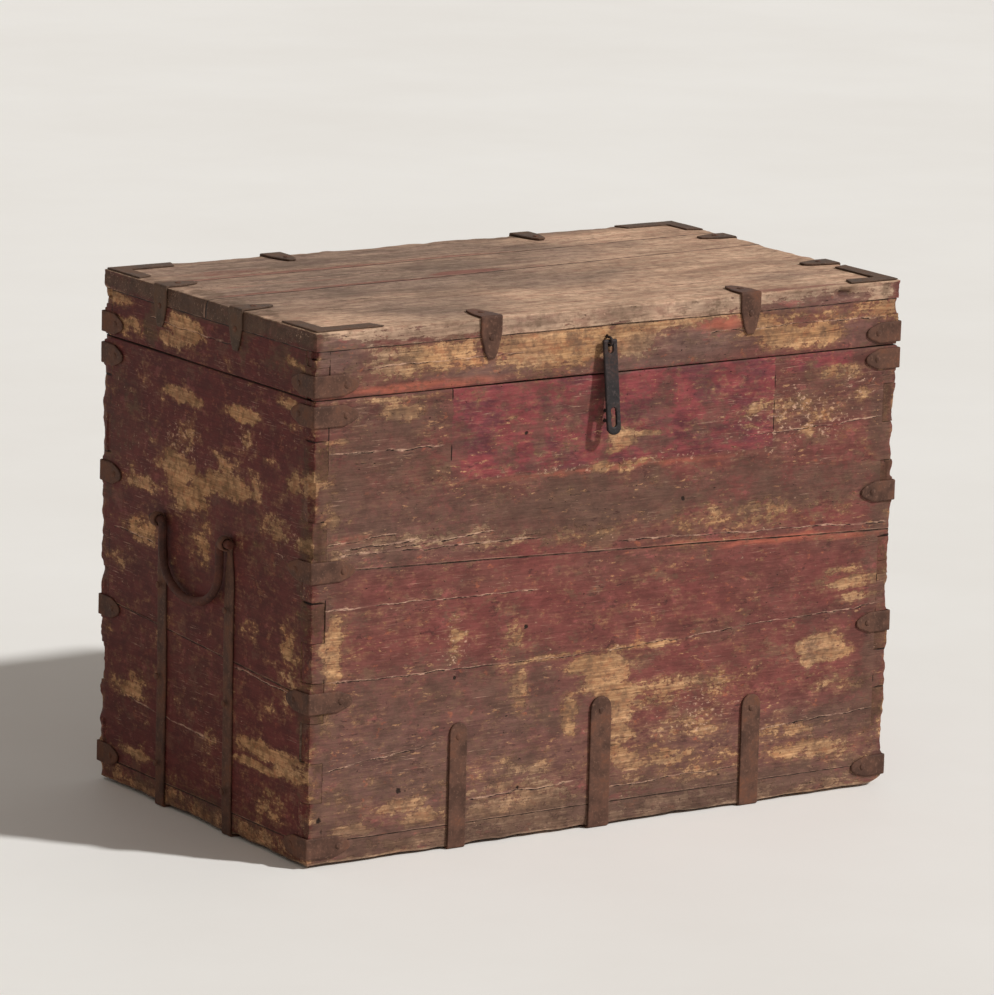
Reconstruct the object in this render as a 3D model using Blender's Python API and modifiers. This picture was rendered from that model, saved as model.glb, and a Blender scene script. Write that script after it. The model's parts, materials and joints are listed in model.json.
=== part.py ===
"""A painted timber chest with forged iron mounts, modelled at its real size.

Metres, +Z up. The chest stands on z = 0, its front faces -Y, and the origin lies under the middle of its
bounding box. Every point below is written in the timber's own frame, whose x and y are zero in the middle
of the box; one empty carries the whole chest to its place.
"""

import math

import bmesh
import bpy
from mathutils import Matrix, Vector

# Timber
CHEST_WIDTH = 0.857
CHEST_DEPTH = 0.494
TIMBER_TOP = 0.648
LID_HEIGHT = 0.081
WALL_THICKNESS = 0.020
BOTTOM_THICKNESS = 0.027
LID_BOARD_THICKNESS = 0.022
WALL_FINGERS = 11
LID_FINGERS = 3

# Board seams on the walls, in finger pitches above the bottom panel: left end and right end from outside
FRONT_SEAM = (6.80, 6.18)
BACK_SEAM = (6.55, 6.30)
LEFT_SEAM = (4.20, 3.65)
RIGHT_SEAM = (5.35, 5.70)

# Widths of the lid's outer boards at their left and right ends; the middle board fills what they leave
LID_FRONT_BOARD = (0.252, 0.299)
LID_REAR_BOARD = (0.127, 0.095)

# Clearances
FIT_GAP = 0.0003
LID_GAP = 0.0008
BOARD_GAP = 0.0006
RUNNING_GAP = 0.0004

# Iron strip
STRAP_THICKNESS = 0.003
BAND_THICKNESS = 0.0025
PLATE_THICKNESS = 0.002

# Corner bands
BAND_HALF_HEIGHT = 0.013
BAND_SIDE_LEG = 0.049
# Length of the bands' legs on the front or the back, at each corner
BAND_FACE_LEG = {
    "front_left": 0.060,
    "front_right": 0.050,
    "back_right": 0.054,
    "back_left": 0.054,
}
BAND_POINT = 0.020
BAND_TIP_HALF = 0.003
LID_BAND_RISE = 0.016
# Middle of each band up one corner of the box, in finger pitches above the bottom panel
BAND_LEVELS = {
    "front_left": (-0.12, 3.51, 6.76, 10.60),
    "front_right": (-0.07, 3.76, 7.20, 10.66),
    "back_right": (0.00, 3.70, 7.00, 10.60),
    "back_left": (0.12, 3.99, 7.49, 10.54),
}

# L-shaped plates on the top corners of the lid
PLATE_WIDTH = 0.022
# Lengths of each plate's two legs, along the front or the back edge and along the end
PLATE_LEGS = {
    "front_left": (0.095, 0.080),
    "front_right": (0.074, 0.112),
    "back_right": (0.093, 0.072),
    "back_left": (0.092, 0.080),
}
PLATE_INSET = 0.002
PLATE_END_SLANT = 0.008

# Clips over the edges of the lid
CLIP_HALF_WIDTH = 0.015
CLIP_TIP_HALF = 0.005
CLIP_TAPER = 0.030
CLIP_ON_TOP = 0.048
CLIP_ON_SIDE = 0.050
# Middles of the two clips on a side: the first from its left or front corner, the second from the other
FRONT_CLIPS = (0.2455, 0.2305)
LEFT_CLIPS = (0.178, 0.139)
RIGHT_CLIPS = (0.143, 0.128)

# Straps from the front face to the underside: middle, half width and height of the round end
FRONT_STRAPS = {
    "front_strap_left": (-0.217, 0.0125, 0.156),
    "front_strap_middle": (-0.009, 0.0150, 0.165),
    "front_strap_right": (0.218, 0.0140, 0.142),
}
FRONT_STRAP_UNDER = 0.110

# Straps that carry the bails: up the left side from an eye, under the box and up the right side to an eye
CARRY_Y = {"carrying_strap_front": -0.065, "carrying_strap_rear": 0.094}
CARRY_HALF_WIDTH = 0.010
CARRY_EYE_HALF_WIDTH = 0.005
CARRY_NECK = 0.012
CARRY_TAPER = 0.036
BAIL_HEIGHT = 0.363
BAIL_RADIUS = 0.0055
BAIL_EYE_PLAY = 0.0007
BAIL_SIDE_PLAY = 0.002
BAIL_PIN_PROUD = 0.009
BAIL_BEND_INSIDE = 0.0013
BAIL_ARM = 0.034
BAIL_BELLY = 0.052
BAIL_BELLY_POWER = 0.9

# Strap hinges
HINGE_X = {"left": -0.188, "right": 0.188}
HINGE_HALF_WIDTH = 0.015
HINGE_PIN_RADIUS = 0.004
HINGE_EYE_HALF_WIDTH = 0.006
HINGE_NECK = 0.009
HINGE_TAPER = 0.014
HINGE_LEAF_DROP = 0.105
HINGE_ON_TOP = 0.052

# Hasp and the two staples
HASP_X = -0.015
HASP_HALF_WIDTH = 0.010
HASP_THICKNESS = 0.004
HASP_RIM_RADIUS = 0.0026
HASP_RIM_BELOW_RAIL_TOP = 0.0187
HASP_RIM_OUT = 0.0065
HASP_REACH = 0.1134
HASP_EYE_SIDE_PLAY = 0.002
HASP_EYE_UNDER_RIM = 0.0005
HASP_EYE_END_PLAY = 0.0077
HASP_SLOT_SIDE_PLAY = 0.0018
HASP_SLOT_END_PLAY = 0.0038
HASP_SLOT_DROP = 0.092
HASP_TILT = math.radians(7.5)
HASP_STAPLE_WIRE = 0.002
LOCK_STAPLE_WIRE = 0.0022
LOCK_STAPLE_HALF_HEIGHT = 0.006
LOCK_STAPLE_OUT = 0.014

# Facets
SMOOTH_BELOW = math.radians(35)
EYE_SWEEP = math.radians(292)
EYE_STEPS = 15
ROUND_TIP_START = math.radians(15)
ROUND_TIP_STEPS = 5
POINT_SHOULDER_ALONG = 0.25
POINT_SHOULDER_RISE = 0.42
BEND_STEPS = 5
BELLY_STEPS = 16
STAPLE_STEPS = 8
CYLINDER_SIDES = 20
BORE_STEPS = 12
BAIL_ROUNDNESS = 3
STAPLE_ROUNDNESS = 2
WELD_DISTANCE = 1e-6
CLOSEST_STATIONS = 3e-5

# Derived timber levels
HALF_WIDTH = CHEST_WIDTH / 2
HALF_DEPTH = CHEST_DEPTH / 2
SEAM_HEIGHT = TIMBER_TOP - LID_HEIGHT
BOTTOM_LOW = STRAP_THICKNESS + FIT_GAP
BOTTOM_HIGH = BOTTOM_LOW + BOTTOM_THICKNESS
WALL_LOW = BOTTOM_HIGH + FIT_GAP
WALL_PITCH = (SEAM_HEIGHT - WALL_LOW) / WALL_FINGERS
LID_LOW = SEAM_HEIGHT + LID_GAP
RAIL_HIGH = TIMBER_TOP - LID_BOARD_THICKNESS - FIT_GAP
LID_PITCH = (RAIL_HIGH - LID_LOW) / LID_FINGERS

# Derived eyes and joint axes
HINGE_EYE_RADIUS = HINGE_PIN_RADIUS + RUNNING_GAP
BAIL_EYE_RADIUS = BAIL_RADIUS + BAIL_EYE_PLAY
BAIL_ARM_INSET = CARRY_EYE_HALF_WIDTH + BAIL_SIDE_PLAY + BAIL_RADIUS
BAIL_BEND_RADIUS = BAIL_RADIUS + BAIL_BEND_INSIDE
HINGE_AXIS_OUT = FIT_GAP + STRAP_THICKNESS + HINGE_EYE_RADIUS
HINGE_KNUCKLE_RADIUS = HINGE_EYE_RADIUS + STRAP_THICKNESS
LID_AXIS = Vector((0.0, HALF_DEPTH + HINGE_AXIS_OUT, SEAM_HEIGHT))
BAIL_AXIS_OUT = FIT_GAP + STRAP_THICKNESS + BAIL_EYE_RADIUS
HASP_RIM_HEIGHT = RAIL_HIGH - HASP_RIM_BELOW_RAIL_TOP
HASP_AXIS = Vector((HASP_X, -HALF_DEPTH - HASP_RIM_OUT, HASP_RIM_HEIGHT))
HASP_STAPLE_HALF_HEIGHT = HASP_RIM_RADIUS + FIT_GAP + HASP_STAPLE_WIRE
LOCK_STAPLE_HEIGHT = HASP_RIM_HEIGHT - HASP_SLOT_DROP
HASP_EYE_HALF_WIDTH = HASP_STAPLE_WIRE + HASP_EYE_SIDE_PLAY
HASP_EYE_TOP = HASP_RIM_RADIUS - HASP_EYE_UNDER_RIM
HASP_EYE_END = HASP_STAPLE_HALF_HEIGHT + HASP_STAPLE_WIRE + HASP_EYE_END_PLAY
HASP_SLOT_HALF_WIDTH = LOCK_STAPLE_WIRE + HASP_SLOT_SIDE_PLAY
HASP_SLOT_HALF_HEIGHT = LOCK_STAPLE_HALF_HEIGHT + LOCK_STAPLE_WIRE + HASP_SLOT_END_PLAY

# The box of the whole chest is centred on the origin, so the timber sits back by half of what stands
# prouder at the front, the tilted hasp, than at the back, the hinge knuckles
FRONT_PROUD = HASP_RIM_OUT + HASP_REACH * math.sin(HASP_TILT) + HASP_THICKNESS / 2 * math.cos(HASP_TILT)
BACK_PROUD = HINGE_AXIS_OUT + HINGE_KNUCKLE_RADIUS
TIMBER_SHIFT = (FRONT_PROUD - BACK_PROUD) / 2

# Planes that paths and outlines are drawn in: first direction, second direction, and the way across
PLAN = (Vector((1, 0, 0)), Vector((0, 1, 0)), Vector((0, 0, 1)))
SIDE_SECTION = (Vector((0, 1, 0)), Vector((0, 0, 1)), Vector((1, 0, 0)))
FRONT_SECTION = (Vector((1, 0, 0)), Vector((0, 0, 1)), Vector((0, -1, 0)))

UP = (0, 1)
DOWN = (0, -1)
RIGHT = (1, 0)
LEFT = (-1, 0)


def clear_scene():
    for obj in list(bpy.data.objects):
        bpy.data.objects.remove(obj, do_unlink=True)


def new_collection(name):
    collection = bpy.data.collections.new(name)
    bpy.context.scene.collection.children.link(collection)
    return collection


def finish(name, colour, roughness, metallic):
    material = bpy.data.materials.new(name)
    material.use_nodes = True
    shader = material.node_tree.nodes["Principled BSDF"]
    shader.inputs["Base Color"].default_value = (*colour, 1.0)
    shader.inputs["Roughness"].default_value = roughness
    shader.inputs["Metallic"].default_value = metallic
    material.diffuse_color = (*colour, 1.0)
    return material


def new_empty(name, location, parent):
    empty = bpy.data.objects.new(name, None)
    empty.location = location
    empty.parent = parent
    chest_parts.objects.link(empty)
    return empty


def add_part(obj, material, parent):
    """Gives a finished object its material and hangs it on the chest's or the lid's empty."""
    obj.data.materials.append(material)
    obj.parent = parent
    if parent == lid_pivot:
        obj.location = obj.location - LID_AXIS
    chest_parts.objects.link(obj)
    return obj


def smooth(mesh):
    mesh.shade_smooth()
    mesh.set_sharp_from_angle(angle=SMOOTH_BELOW)


def basis(plane):
    """The rotation that lays local x, y and z along a plane's two directions and the way across."""
    return Matrix(plane).transposed().to_4x4()


# Paths in a plane

def moved(point, direction, distance):
    return (point[0] + direction[0] * distance, point[1] + direction[1] * distance)


def right_of(direction):
    return (direction[1], -direction[0])


def arc(centre, radius, start, end, steps):
    points = []
    for step in range(steps + 1):
        angle = start + (end - start) * step / steps
        points.append((centre[0] + radius * math.cos(angle), centre[1] + radius * math.sin(angle)))
    return points


def round_edge(edge, arriving, leaving):
    """Three points round a square edge, FIT_GAP off the timber, for a path with the outside on its right."""
    first = right_of(arriving)
    second = right_of(leaving)
    between = ((first[0] + second[0]) * math.sqrt(0.5), (first[1] + second[1]) * math.sqrt(0.5))
    return [moved(edge, side, FIT_GAP) for side in (first, between, second)]


def over_edge(edge, arriving, leaving, before, after):
    bend = round_edge(edge, arriving, leaving)
    return [moved(bend[0], arriving, -before), *bend, moved(bend[-1], leaving, after)]


def rolled_eye(wall_point, radius, wall_angle):
    """The eye at the end of a strip that runs up a wall and rolls outwards; radius is its outer face's."""
    centre = (wall_point[0] - radius * math.cos(wall_angle), wall_point[1])
    return arc(centre, radius, wall_angle, wall_angle - EYE_SWEEP, EYE_STEPS)


# Strip ends, as distances from the end and half widths there

def round_tip(half_width):
    marks = []
    for step in range(ROUND_TIP_STEPS + 1):
        angle = ROUND_TIP_START + (math.pi / 2 - ROUND_TIP_START) * step / ROUND_TIP_STEPS
        along = half_width * (math.cos(ROUND_TIP_START) - math.cos(angle))
        marks.append((along, half_width * math.sin(angle)))
    return marks


def pointed_tip(tip_half, length, half_width):
    shoulder = tip_half + (half_width - tip_half) * POINT_SHOULDER_RISE
    return [(0.0, tip_half), (length * POINT_SHOULDER_ALONG, shoulder), (length, half_width)]


def square_tip(half_width):
    return [(0.0, half_width)]


def value_at(marks, distance):
    if distance <= marks[0][0]:
        return marks[0][1]
    for (near, low), (far, high) in zip(marks, marks[1:]):
        if distance <= far:
            return low + (high - low) * (distance - near) / (far - near)
    return marks[-1][1]


def stations(path, start_tip, end_tip):
    """The path's own points and those that its shaped ends need, each with the half width there."""
    lengths = [0.0]
    for here, there in zip(path, path[1:]):
        lengths.append(lengths[-1] + math.dist(here, there))
    total = lengths[-1]
    distances = set(lengths)
    distances.update(mark[0] for mark in start_tip)
    distances.update(total - mark[0] for mark in end_tip)
    ordered = []
    for distance in sorted(distances):
        if not ordered or distance - ordered[-1] > CLOSEST_STATIONS:
            ordered.append(distance)
    xs = list(zip(lengths, [point[0] for point in path]))
    ys = list(zip(lengths, [point[1] for point in path]))
    return [
        (
            (value_at(xs, distance), value_at(ys, distance)),
            min(value_at(start_tip, distance), value_at(end_tip, total - distance)),
        )
        for distance in ordered
    ]


def strip(name, plane, across, path, tips, thickness, material, parent):
    """A bent strip of iron: an open ribbon along the path's timber side, thickened outwards to its right."""
    first, second, way = plane
    mesh = bpy.data.meshes.new(name)
    grid = bmesh.new()
    rows = []
    for point, half_width in stations(path, *tips):
        middle = first * point[0] + second * point[1] + way * across
        sides = (middle - way * half_width, middle + way * half_width)
        rows.append([grid.verts.new(corner) for corner in sides])
    handed = first.cross(second).dot(way)
    for here, there in zip(rows, rows[1:]):
        corners = (here[0], there[0], there[1], here[1])
        grid.faces.new(corners if handed > 0 else corners[::-1])
    grid.to_mesh(mesh)
    grid.free()
    smooth(mesh)
    obj = bpy.data.objects.new(name, mesh)
    thicken = obj.modifiers.new("thickness", "SOLIDIFY")
    thicken.thickness = thickness
    thicken.offset = 1.0
    thicken.use_even_offset = True
    return add_part(obj, material, parent)


# Flat outlines and wires

def outline_curve(name, loops, thickness):
    curve = bpy.data.curves.new(name, "CURVE")
    curve.dimensions = "2D"
    curve.fill_mode = "BOTH"
    curve.extrude = thickness / 2
    for loop in loops:
        spline = curve.splines.new("POLY")
        spline.points.add(len(loop) - 1)
        for point, place in zip(spline.points, loop):
            point.co = (*place, 0.0, 1.0)
        spline.use_cyclic_u = True
    return bpy.data.objects.new(name, curve)


def flat_piece(name, plane, loops, middle, thickness, material, parent):
    """A plate or board with its outline in a plane and its mid-thickness at a distance the way across."""
    obj = outline_curve(name, loops, thickness)
    obj.matrix_world = Matrix.Translation(plane[2] * middle) @ basis(plane)
    return add_part(obj, material, parent)


def as_mesh(curve_object):
    """The evaluated curve as a welded mesh object in the curve's place, so that a Boolean can work on it."""
    bpy.context.view_layer.update()
    graph = bpy.context.evaluated_depsgraph_get()
    mesh = bpy.data.meshes.new_from_object(curve_object.evaluated_get(graph))
    welded = bmesh.new()
    welded.from_mesh(mesh)
    bmesh.ops.remove_doubles(welded, verts=welded.verts, dist=WELD_DISTANCE)
    bmesh.ops.recalc_face_normals(welded, faces=welded.faces)
    welded.to_mesh(mesh)
    welded.free()
    name = curve_object.name
    parent = curve_object.parent
    matrix = curve_object.matrix_basis.copy()
    curve = curve_object.data
    bpy.data.objects.remove(curve_object)
    bpy.data.curves.remove(curve)
    mesh.name = name
    obj = bpy.data.objects.new(name, mesh)
    obj.parent = parent
    obj.matrix_basis = matrix
    chest_parts.objects.link(obj)
    return obj


def wire(name, points, radius, origin, resolution, material, parent):
    """A round rod along points of the timber's frame, with its own origin where it turns."""
    curve = bpy.data.curves.new(name, "CURVE")
    curve.dimensions = "3D"
    curve.bevel_depth = radius
    curve.bevel_resolution = resolution
    curve.use_fill_caps = True
    spline = curve.splines.new("POLY")
    spline.points.add(len(points) - 1)
    for point, place in zip(spline.points, points):
        point.co = (*(Vector(place) - origin), 1.0)
    spline.use_smooth = True
    obj = bpy.data.objects.new(name, curve)
    obj.location = origin
    return add_part(obj, material, parent)


# Cutters and the bars that Booleans join on

def cylinder(name, radius, start, end, parent):
    start = Vector(start)
    end = Vector(end)
    mesh = bpy.data.meshes.new(name)
    made = bmesh.new()
    bmesh.ops.create_cone(
        made,
        cap_ends=True,
        segments=CYLINDER_SIDES,
        radius1=radius,
        radius2=radius,
        depth=(end - start).length,
    )
    made.to_mesh(mesh)
    made.free()
    turn = (end - start).to_track_quat("Z", "Y").to_matrix().to_4x4()
    return add_helper(bpy.data.objects.new(name, mesh), Matrix.Translation((start + end) / 2) @ turn, parent)


def block(name, low, high, parent):
    low = Vector(low)
    high = Vector(high)
    mesh = bpy.data.meshes.new(name)
    made = bmesh.new()
    bmesh.ops.create_cube(made, size=1.0)
    bmesh.ops.scale(made, vec=high - low, verts=made.verts)
    made.to_mesh(mesh)
    made.free()
    return add_helper(bpy.data.objects.new(name, mesh), Matrix.Translation((low + high) / 2), parent)


def add_helper(obj, matrix, parent):
    obj.matrix_world = matrix
    obj.parent = parent
    if parent == lid_pivot:
        obj.location = obj.location - LID_AXIS
    obj.hide_render = True
    obj.display_type = "WIRE"
    cutters.objects.link(obj)
    return obj


def combine(obj, helper, operation):
    modifier = obj.modifiers.new(f"{operation.lower()} {helper.name}", "BOOLEAN")
    modifier.operation = operation
    modifier.object = helper


# Timber

def comb_edge(fingers, low, high, long_reach, long_first):
    """Points (reach, height) up one finger-jointed board end, from low to high."""
    base, pitch, count = fingers
    short_reach = long_reach - WALL_THICKNESS - FIT_GAP

    def reach(finger):
        return long_reach if (finger % 2 == 0) == long_first else short_reach

    current = 0
    steps = []
    for finger in range(1, count):
        lean = -1 if reach(finger - 1) == long_reach else 1
        height = base + finger * pitch + lean * FIT_GAP / 2
        if height <= low:
            current = finger
        elif height < high:
            steps.append((height, finger))
    points = [(reach(current), low)]
    for height, finger in steps:
        points.append((reach(current), height))
        points.append((reach(finger), height))
        current = finger
    points.append((reach(current), high))
    return points


def comb_board(name, plane, middle, fingers, half_length, lows, highs, long_first, bores, parent):
    """A board with comb ends; lows and highs are its edge heights at the axis's low and high ends."""
    low_end = comb_edge(fingers, lows[0], highs[0], half_length, long_first)
    high_end = comb_edge(fingers, lows[1], highs[1], half_length, long_first)
    loop = [(reach, height) for reach, height in high_end]
    loop += [(-reach, height) for reach, height in reversed(low_end)]
    holes = [arc(centre, radius, 0.0, math.tau, BORE_STEPS)[:-1] for centre, radius in bores]
    flat_piece(name, plane, [loop, *holes], middle, WALL_THICKNESS, painted_wood, parent)


def staple_bores(middle_height, half_height, wire_radius):
    """The two holes that a staple's legs pass through, as centres and radii on the front face."""
    radius = wire_radius + FIT_GAP
    return [((HASP_X, middle_height + sign * half_height), radius) for sign in (1, -1)]


def wall(name, plane, middle, half_length, seam, long_first, bores=()):
    """The two boards of one wall; their sloping seam is given at the axis's low and high ends."""
    fingers = (WALL_LOW, WALL_PITCH, WALL_FINGERS)
    heights = [WALL_LOW + pitches * WALL_PITCH for pitches in seam]
    under = [height - BOARD_GAP / 2 for height in heights]
    over = [height + BOARD_GAP / 2 for height in heights]
    floor = (WALL_LOW, WALL_LOW)
    rim = (SEAM_HEIGHT, SEAM_HEIGHT)
    comb_board(f"{name}_lower", plane, middle, fingers, half_length, floor, under, long_first, (), chest)
    comb_board(f"{name}_upper", plane, middle, fingers, half_length, over, rim, long_first, bores, chest)


def make_box():
    wall_middle_x = HALF_WIDTH - WALL_THICKNESS / 2
    wall_middle_y = HALF_DEPTH - WALL_THICKNESS / 2
    lock_bores = staple_bores(LOCK_STAPLE_HEIGHT, LOCK_STAPLE_HALF_HEIGHT, LOCK_STAPLE_WIRE)
    wall("front_board", FRONT_SECTION, wall_middle_y, HALF_WIDTH, FRONT_SEAM, True, lock_bores)
    wall("back_board", FRONT_SECTION, -wall_middle_y, HALF_WIDTH, BACK_SEAM[::-1], True)
    wall("left_board", SIDE_SECTION, -wall_middle_x, HALF_DEPTH, LEFT_SEAM[::-1], False)
    wall("right_board", SIDE_SECTION, wall_middle_x, HALF_DEPTH, RIGHT_SEAM, False)
    panel = [
        (-HALF_WIDTH, -HALF_DEPTH),
        (HALF_WIDTH, -HALF_DEPTH),
        (HALF_WIDTH, HALF_DEPTH),
        (-HALF_WIDTH, HALF_DEPTH),
    ]
    panel_middle = (BOTTOM_LOW + BOTTOM_HIGH) / 2
    flat_piece("bottom_panel", PLAN, [panel], panel_middle, BOTTOM_THICKNESS, painted_wood, chest)


def make_lid_frame():
    fingers = (LID_LOW, LID_PITCH, LID_FINGERS)
    low = (LID_LOW, LID_LOW)
    high = (RAIL_HIGH, RAIL_HIGH)
    wall_middle_x = HALF_WIDTH - WALL_THICKNESS / 2
    wall_middle_y = HALF_DEPTH - WALL_THICKNESS / 2
    hasp_bores = staple_bores(HASP_RIM_HEIGHT, HASP_STAPLE_HALF_HEIGHT, HASP_STAPLE_WIRE)
    rails = {
        "lid_rail_front": (FRONT_SECTION, wall_middle_y, HALF_WIDTH, True, hasp_bores),
        "lid_rail_back": (FRONT_SECTION, -wall_middle_y, HALF_WIDTH, True, ()),
        "lid_rail_left": (SIDE_SECTION, -wall_middle_x, HALF_DEPTH, False, ()),
        "lid_rail_right": (SIDE_SECTION, wall_middle_x, HALF_DEPTH, False, ()),
    }
    for name, (plane, middle, half_length, long_first, bores) in rails.items():
        comb_board(name, plane, middle, fingers, half_length, low, high, long_first, bores, lid_pivot)


def make_lid_boards():
    edges = (
        (-HALF_DEPTH, -HALF_DEPTH),
        tuple(width - HALF_DEPTH for width in LID_FRONT_BOARD),
        tuple(HALF_DEPTH - width for width in LID_REAR_BOARD),
        (HALF_DEPTH, HALF_DEPTH),
    )
    half_gap = BOARD_GAP / 2
    for index, name in enumerate(("lid_board_front", "lid_board_middle", "lid_board_rear")):
        near = [y + (half_gap if index > 0 else 0) for y in edges[index]]
        far = [y - (half_gap if index < 2 else 0) for y in edges[index + 1]]
        loop = [
            (-HALF_WIDTH, near[0]),
            (HALF_WIDTH, near[1]),
            (HALF_WIDTH, far[1]),
            (-HALF_WIDTH, far[0]),
        ]
        middle = TIMBER_TOP - LID_BOARD_THICKNESS / 2
        flat_piece(name, PLAN, [loop], middle, LID_BOARD_THICKNESS, worn_wood, lid_pivot)


# Iron bands, plates and clips

CORNERS = {
    "front_left": ((-1, -1), DOWN, RIGHT),
    "front_right": ((1, -1), RIGHT, UP),
    "back_right": ((1, 1), UP, LEFT),
    "back_left": ((-1, 1), LEFT, DOWN),
}


def corner_band(name, corner, height, parent):
    (side_x, side_y), arriving, leaving = CORNERS[corner]
    edge = (side_x * HALF_WIDTH, side_y * HALF_DEPTH)
    legs = [BAND_FACE_LEG[corner] if way in (LEFT, RIGHT) else BAND_SIDE_LEG for way in (arriving, leaving)]
    path = over_edge(edge, arriving, leaving, *legs)
    tip = pointed_tip(BAND_TIP_HALF, BAND_POINT, BAND_HALF_HEIGHT)
    strip(name, PLAN, height, path, (tip, tip), BAND_THICKNESS, iron, parent)


def make_bands():
    for corner, levels in BAND_LEVELS.items():
        for number, level in enumerate(levels, start=1):
            corner_band(f"corner_band_{corner}_{number}", corner, WALL_LOW + level * WALL_PITCH, chest)
        corner_band(f"lid_band_{corner}", corner, LID_LOW + LID_BAND_RISE, lid_pivot)


def make_lid_plates():
    middle = TIMBER_TOP + FIT_GAP + PLATE_THICKNESS / 2
    for corner, ((side_x, side_y), _, _) in CORNERS.items():
        face_end, side_end = PLATE_LEGS[corner]
        pattern = [
            (0.0, 0.0),
            (face_end, 0.0),
            (face_end - PLATE_END_SLANT, PLATE_WIDTH),
            (PLATE_WIDTH, PLATE_WIDTH),
            (PLATE_WIDTH, side_end - PLATE_END_SLANT),
            (0.0, side_end),
        ]
        corner_x = side_x * (HALF_WIDTH - PLATE_INSET)
        corner_y = side_y * (HALF_DEPTH - PLATE_INSET)
        loop = [(corner_x - side_x * along, corner_y - side_y * inwards) for along, inwards in pattern]
        flat_piece(f"lid_plate_{corner}", PLAN, [loop], middle, PLATE_THICKNESS, iron, lid_pivot)


def make_clips():
    tip = pointed_tip(CLIP_TIP_HALF, CLIP_TAPER, CLIP_HALF_WIDTH)
    front_edge = (-HALF_DEPTH, TIMBER_TOP)
    front_path = over_edge(front_edge, LEFT, DOWN, CLIP_ON_TOP, CLIP_ON_SIDE)
    left_path = over_edge((-HALF_WIDTH, TIMBER_TOP), LEFT, DOWN, CLIP_ON_TOP, CLIP_ON_SIDE)
    right_path = over_edge((HALF_WIDTH, TIMBER_TOP), UP, LEFT, CLIP_ON_SIDE, CLIP_ON_TOP)
    sets = (
        ("lid_clip_front", SIDE_SECTION, front_path, HALF_WIDTH, FRONT_CLIPS, 1),
        ("lid_clip_left", FRONT_SECTION, left_path, HALF_DEPTH, LEFT_CLIPS, -1),
        ("lid_clip_right", FRONT_SECTION, right_path, HALF_DEPTH, RIGHT_CLIPS, -1),
    )
    for name, plane, path, half_side, insets, way_sign in sets:
        places = (insets[0] - half_side, half_side - insets[1])
        for number, place in enumerate(places, start=1):
            across = way_sign * place
            strip(f"{name}_{number}", plane, across, path, (tip, tip), BAND_THICKNESS, iron, lid_pivot)


def make_front_straps():
    for name, (x, half_width, top) in FRONT_STRAPS.items():
        edge = (-HALF_DEPTH, BOTTOM_LOW)
        path = over_edge(edge, DOWN, RIGHT, top - BOTTOM_LOW, FRONT_STRAP_UNDER)
        tips = (round_tip(half_width), round_tip(half_width))
        strip(name, SIDE_SECTION, x, path, tips, STRAP_THICKNESS, iron, chest)


# Carrying straps and bails

def make_carrying_straps():
    eye_outer = BAIL_EYE_RADIUS + STRAP_THICKNESS
    left_wall = (-HALF_WIDTH - FIT_GAP, BAIL_HEIGHT)
    right_wall = (HALF_WIDTH + FIT_GAP, BAIL_HEIGHT)
    left_eye = arc((left_wall[0] - eye_outer, BAIL_HEIGHT), eye_outer, EYE_SWEEP, 0.0, EYE_STEPS)
    left_turn = round_edge((-HALF_WIDTH, BOTTOM_LOW), DOWN, RIGHT)
    right_turn = round_edge((HALF_WIDTH, BOTTOM_LOW), RIGHT, UP)
    right_eye = rolled_eye(right_wall, eye_outer, math.pi)
    path = left_eye + left_turn + right_turn + right_eye
    eye_length = eye_outer * EYE_SWEEP
    tip = [
        (0.0, CARRY_EYE_HALF_WIDTH),
        (eye_length + CARRY_NECK, CARRY_EYE_HALF_WIDTH),
        (eye_length + CARRY_NECK + CARRY_TAPER, CARRY_HALF_WIDTH),
    ]
    for name, y in CARRY_Y.items():
        strip(name, FRONT_SECTION, -y, path, (tip, tip), STRAP_THICKNESS, iron, chest)


def bail_points(side):
    """The rod's middle line: a pin through one eye, an arm, the belly, the other arm and the other pin."""
    x = side * (HALF_WIDTH + BAIL_AXIS_OUT)
    near = min(CARRY_Y.values())
    far = max(CARRY_Y.values())
    middle = (near + far) / 2
    pin_end = far + CARRY_EYE_HALF_WIDTH + BAIL_PIN_PROUD - middle
    arm = far - BAIL_ARM_INSET - middle
    bend_centre = (arm + BAIL_BEND_RADIUS, BAIL_HEIGHT - BAIL_BEND_RADIUS)
    half = [(pin_end, BAIL_HEIGHT)]
    half += arc(bend_centre, BAIL_BEND_RADIUS, math.pi / 2, math.pi, BEND_STEPS)
    belly_top = BAIL_HEIGHT - BAIL_ARM
    for step in range(BELLY_STEPS // 2 + 1):
        angle = math.pi / 2 * step / (BELLY_STEPS // 2)
        half.append((arm * math.cos(angle), belly_top - BAIL_BELLY * math.sin(angle) ** BAIL_BELLY_POWER))
    other_half = [(-along, height) for along, height in reversed(half[:-1])]
    return [(x, middle + along, height) for along, height in half + other_half]


def make_bails():
    middle = sum(CARRY_Y.values()) / 2
    for name, side in (("left_bail", -1), ("right_bail", 1)):
        origin = Vector((side * (HALF_WIDTH + BAIL_AXIS_OUT), middle, BAIL_HEIGHT))
        wire(name, bail_points(side), BAIL_RADIUS, origin, BAIL_ROUNDNESS, iron, chest)


# Strap hinges

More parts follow.
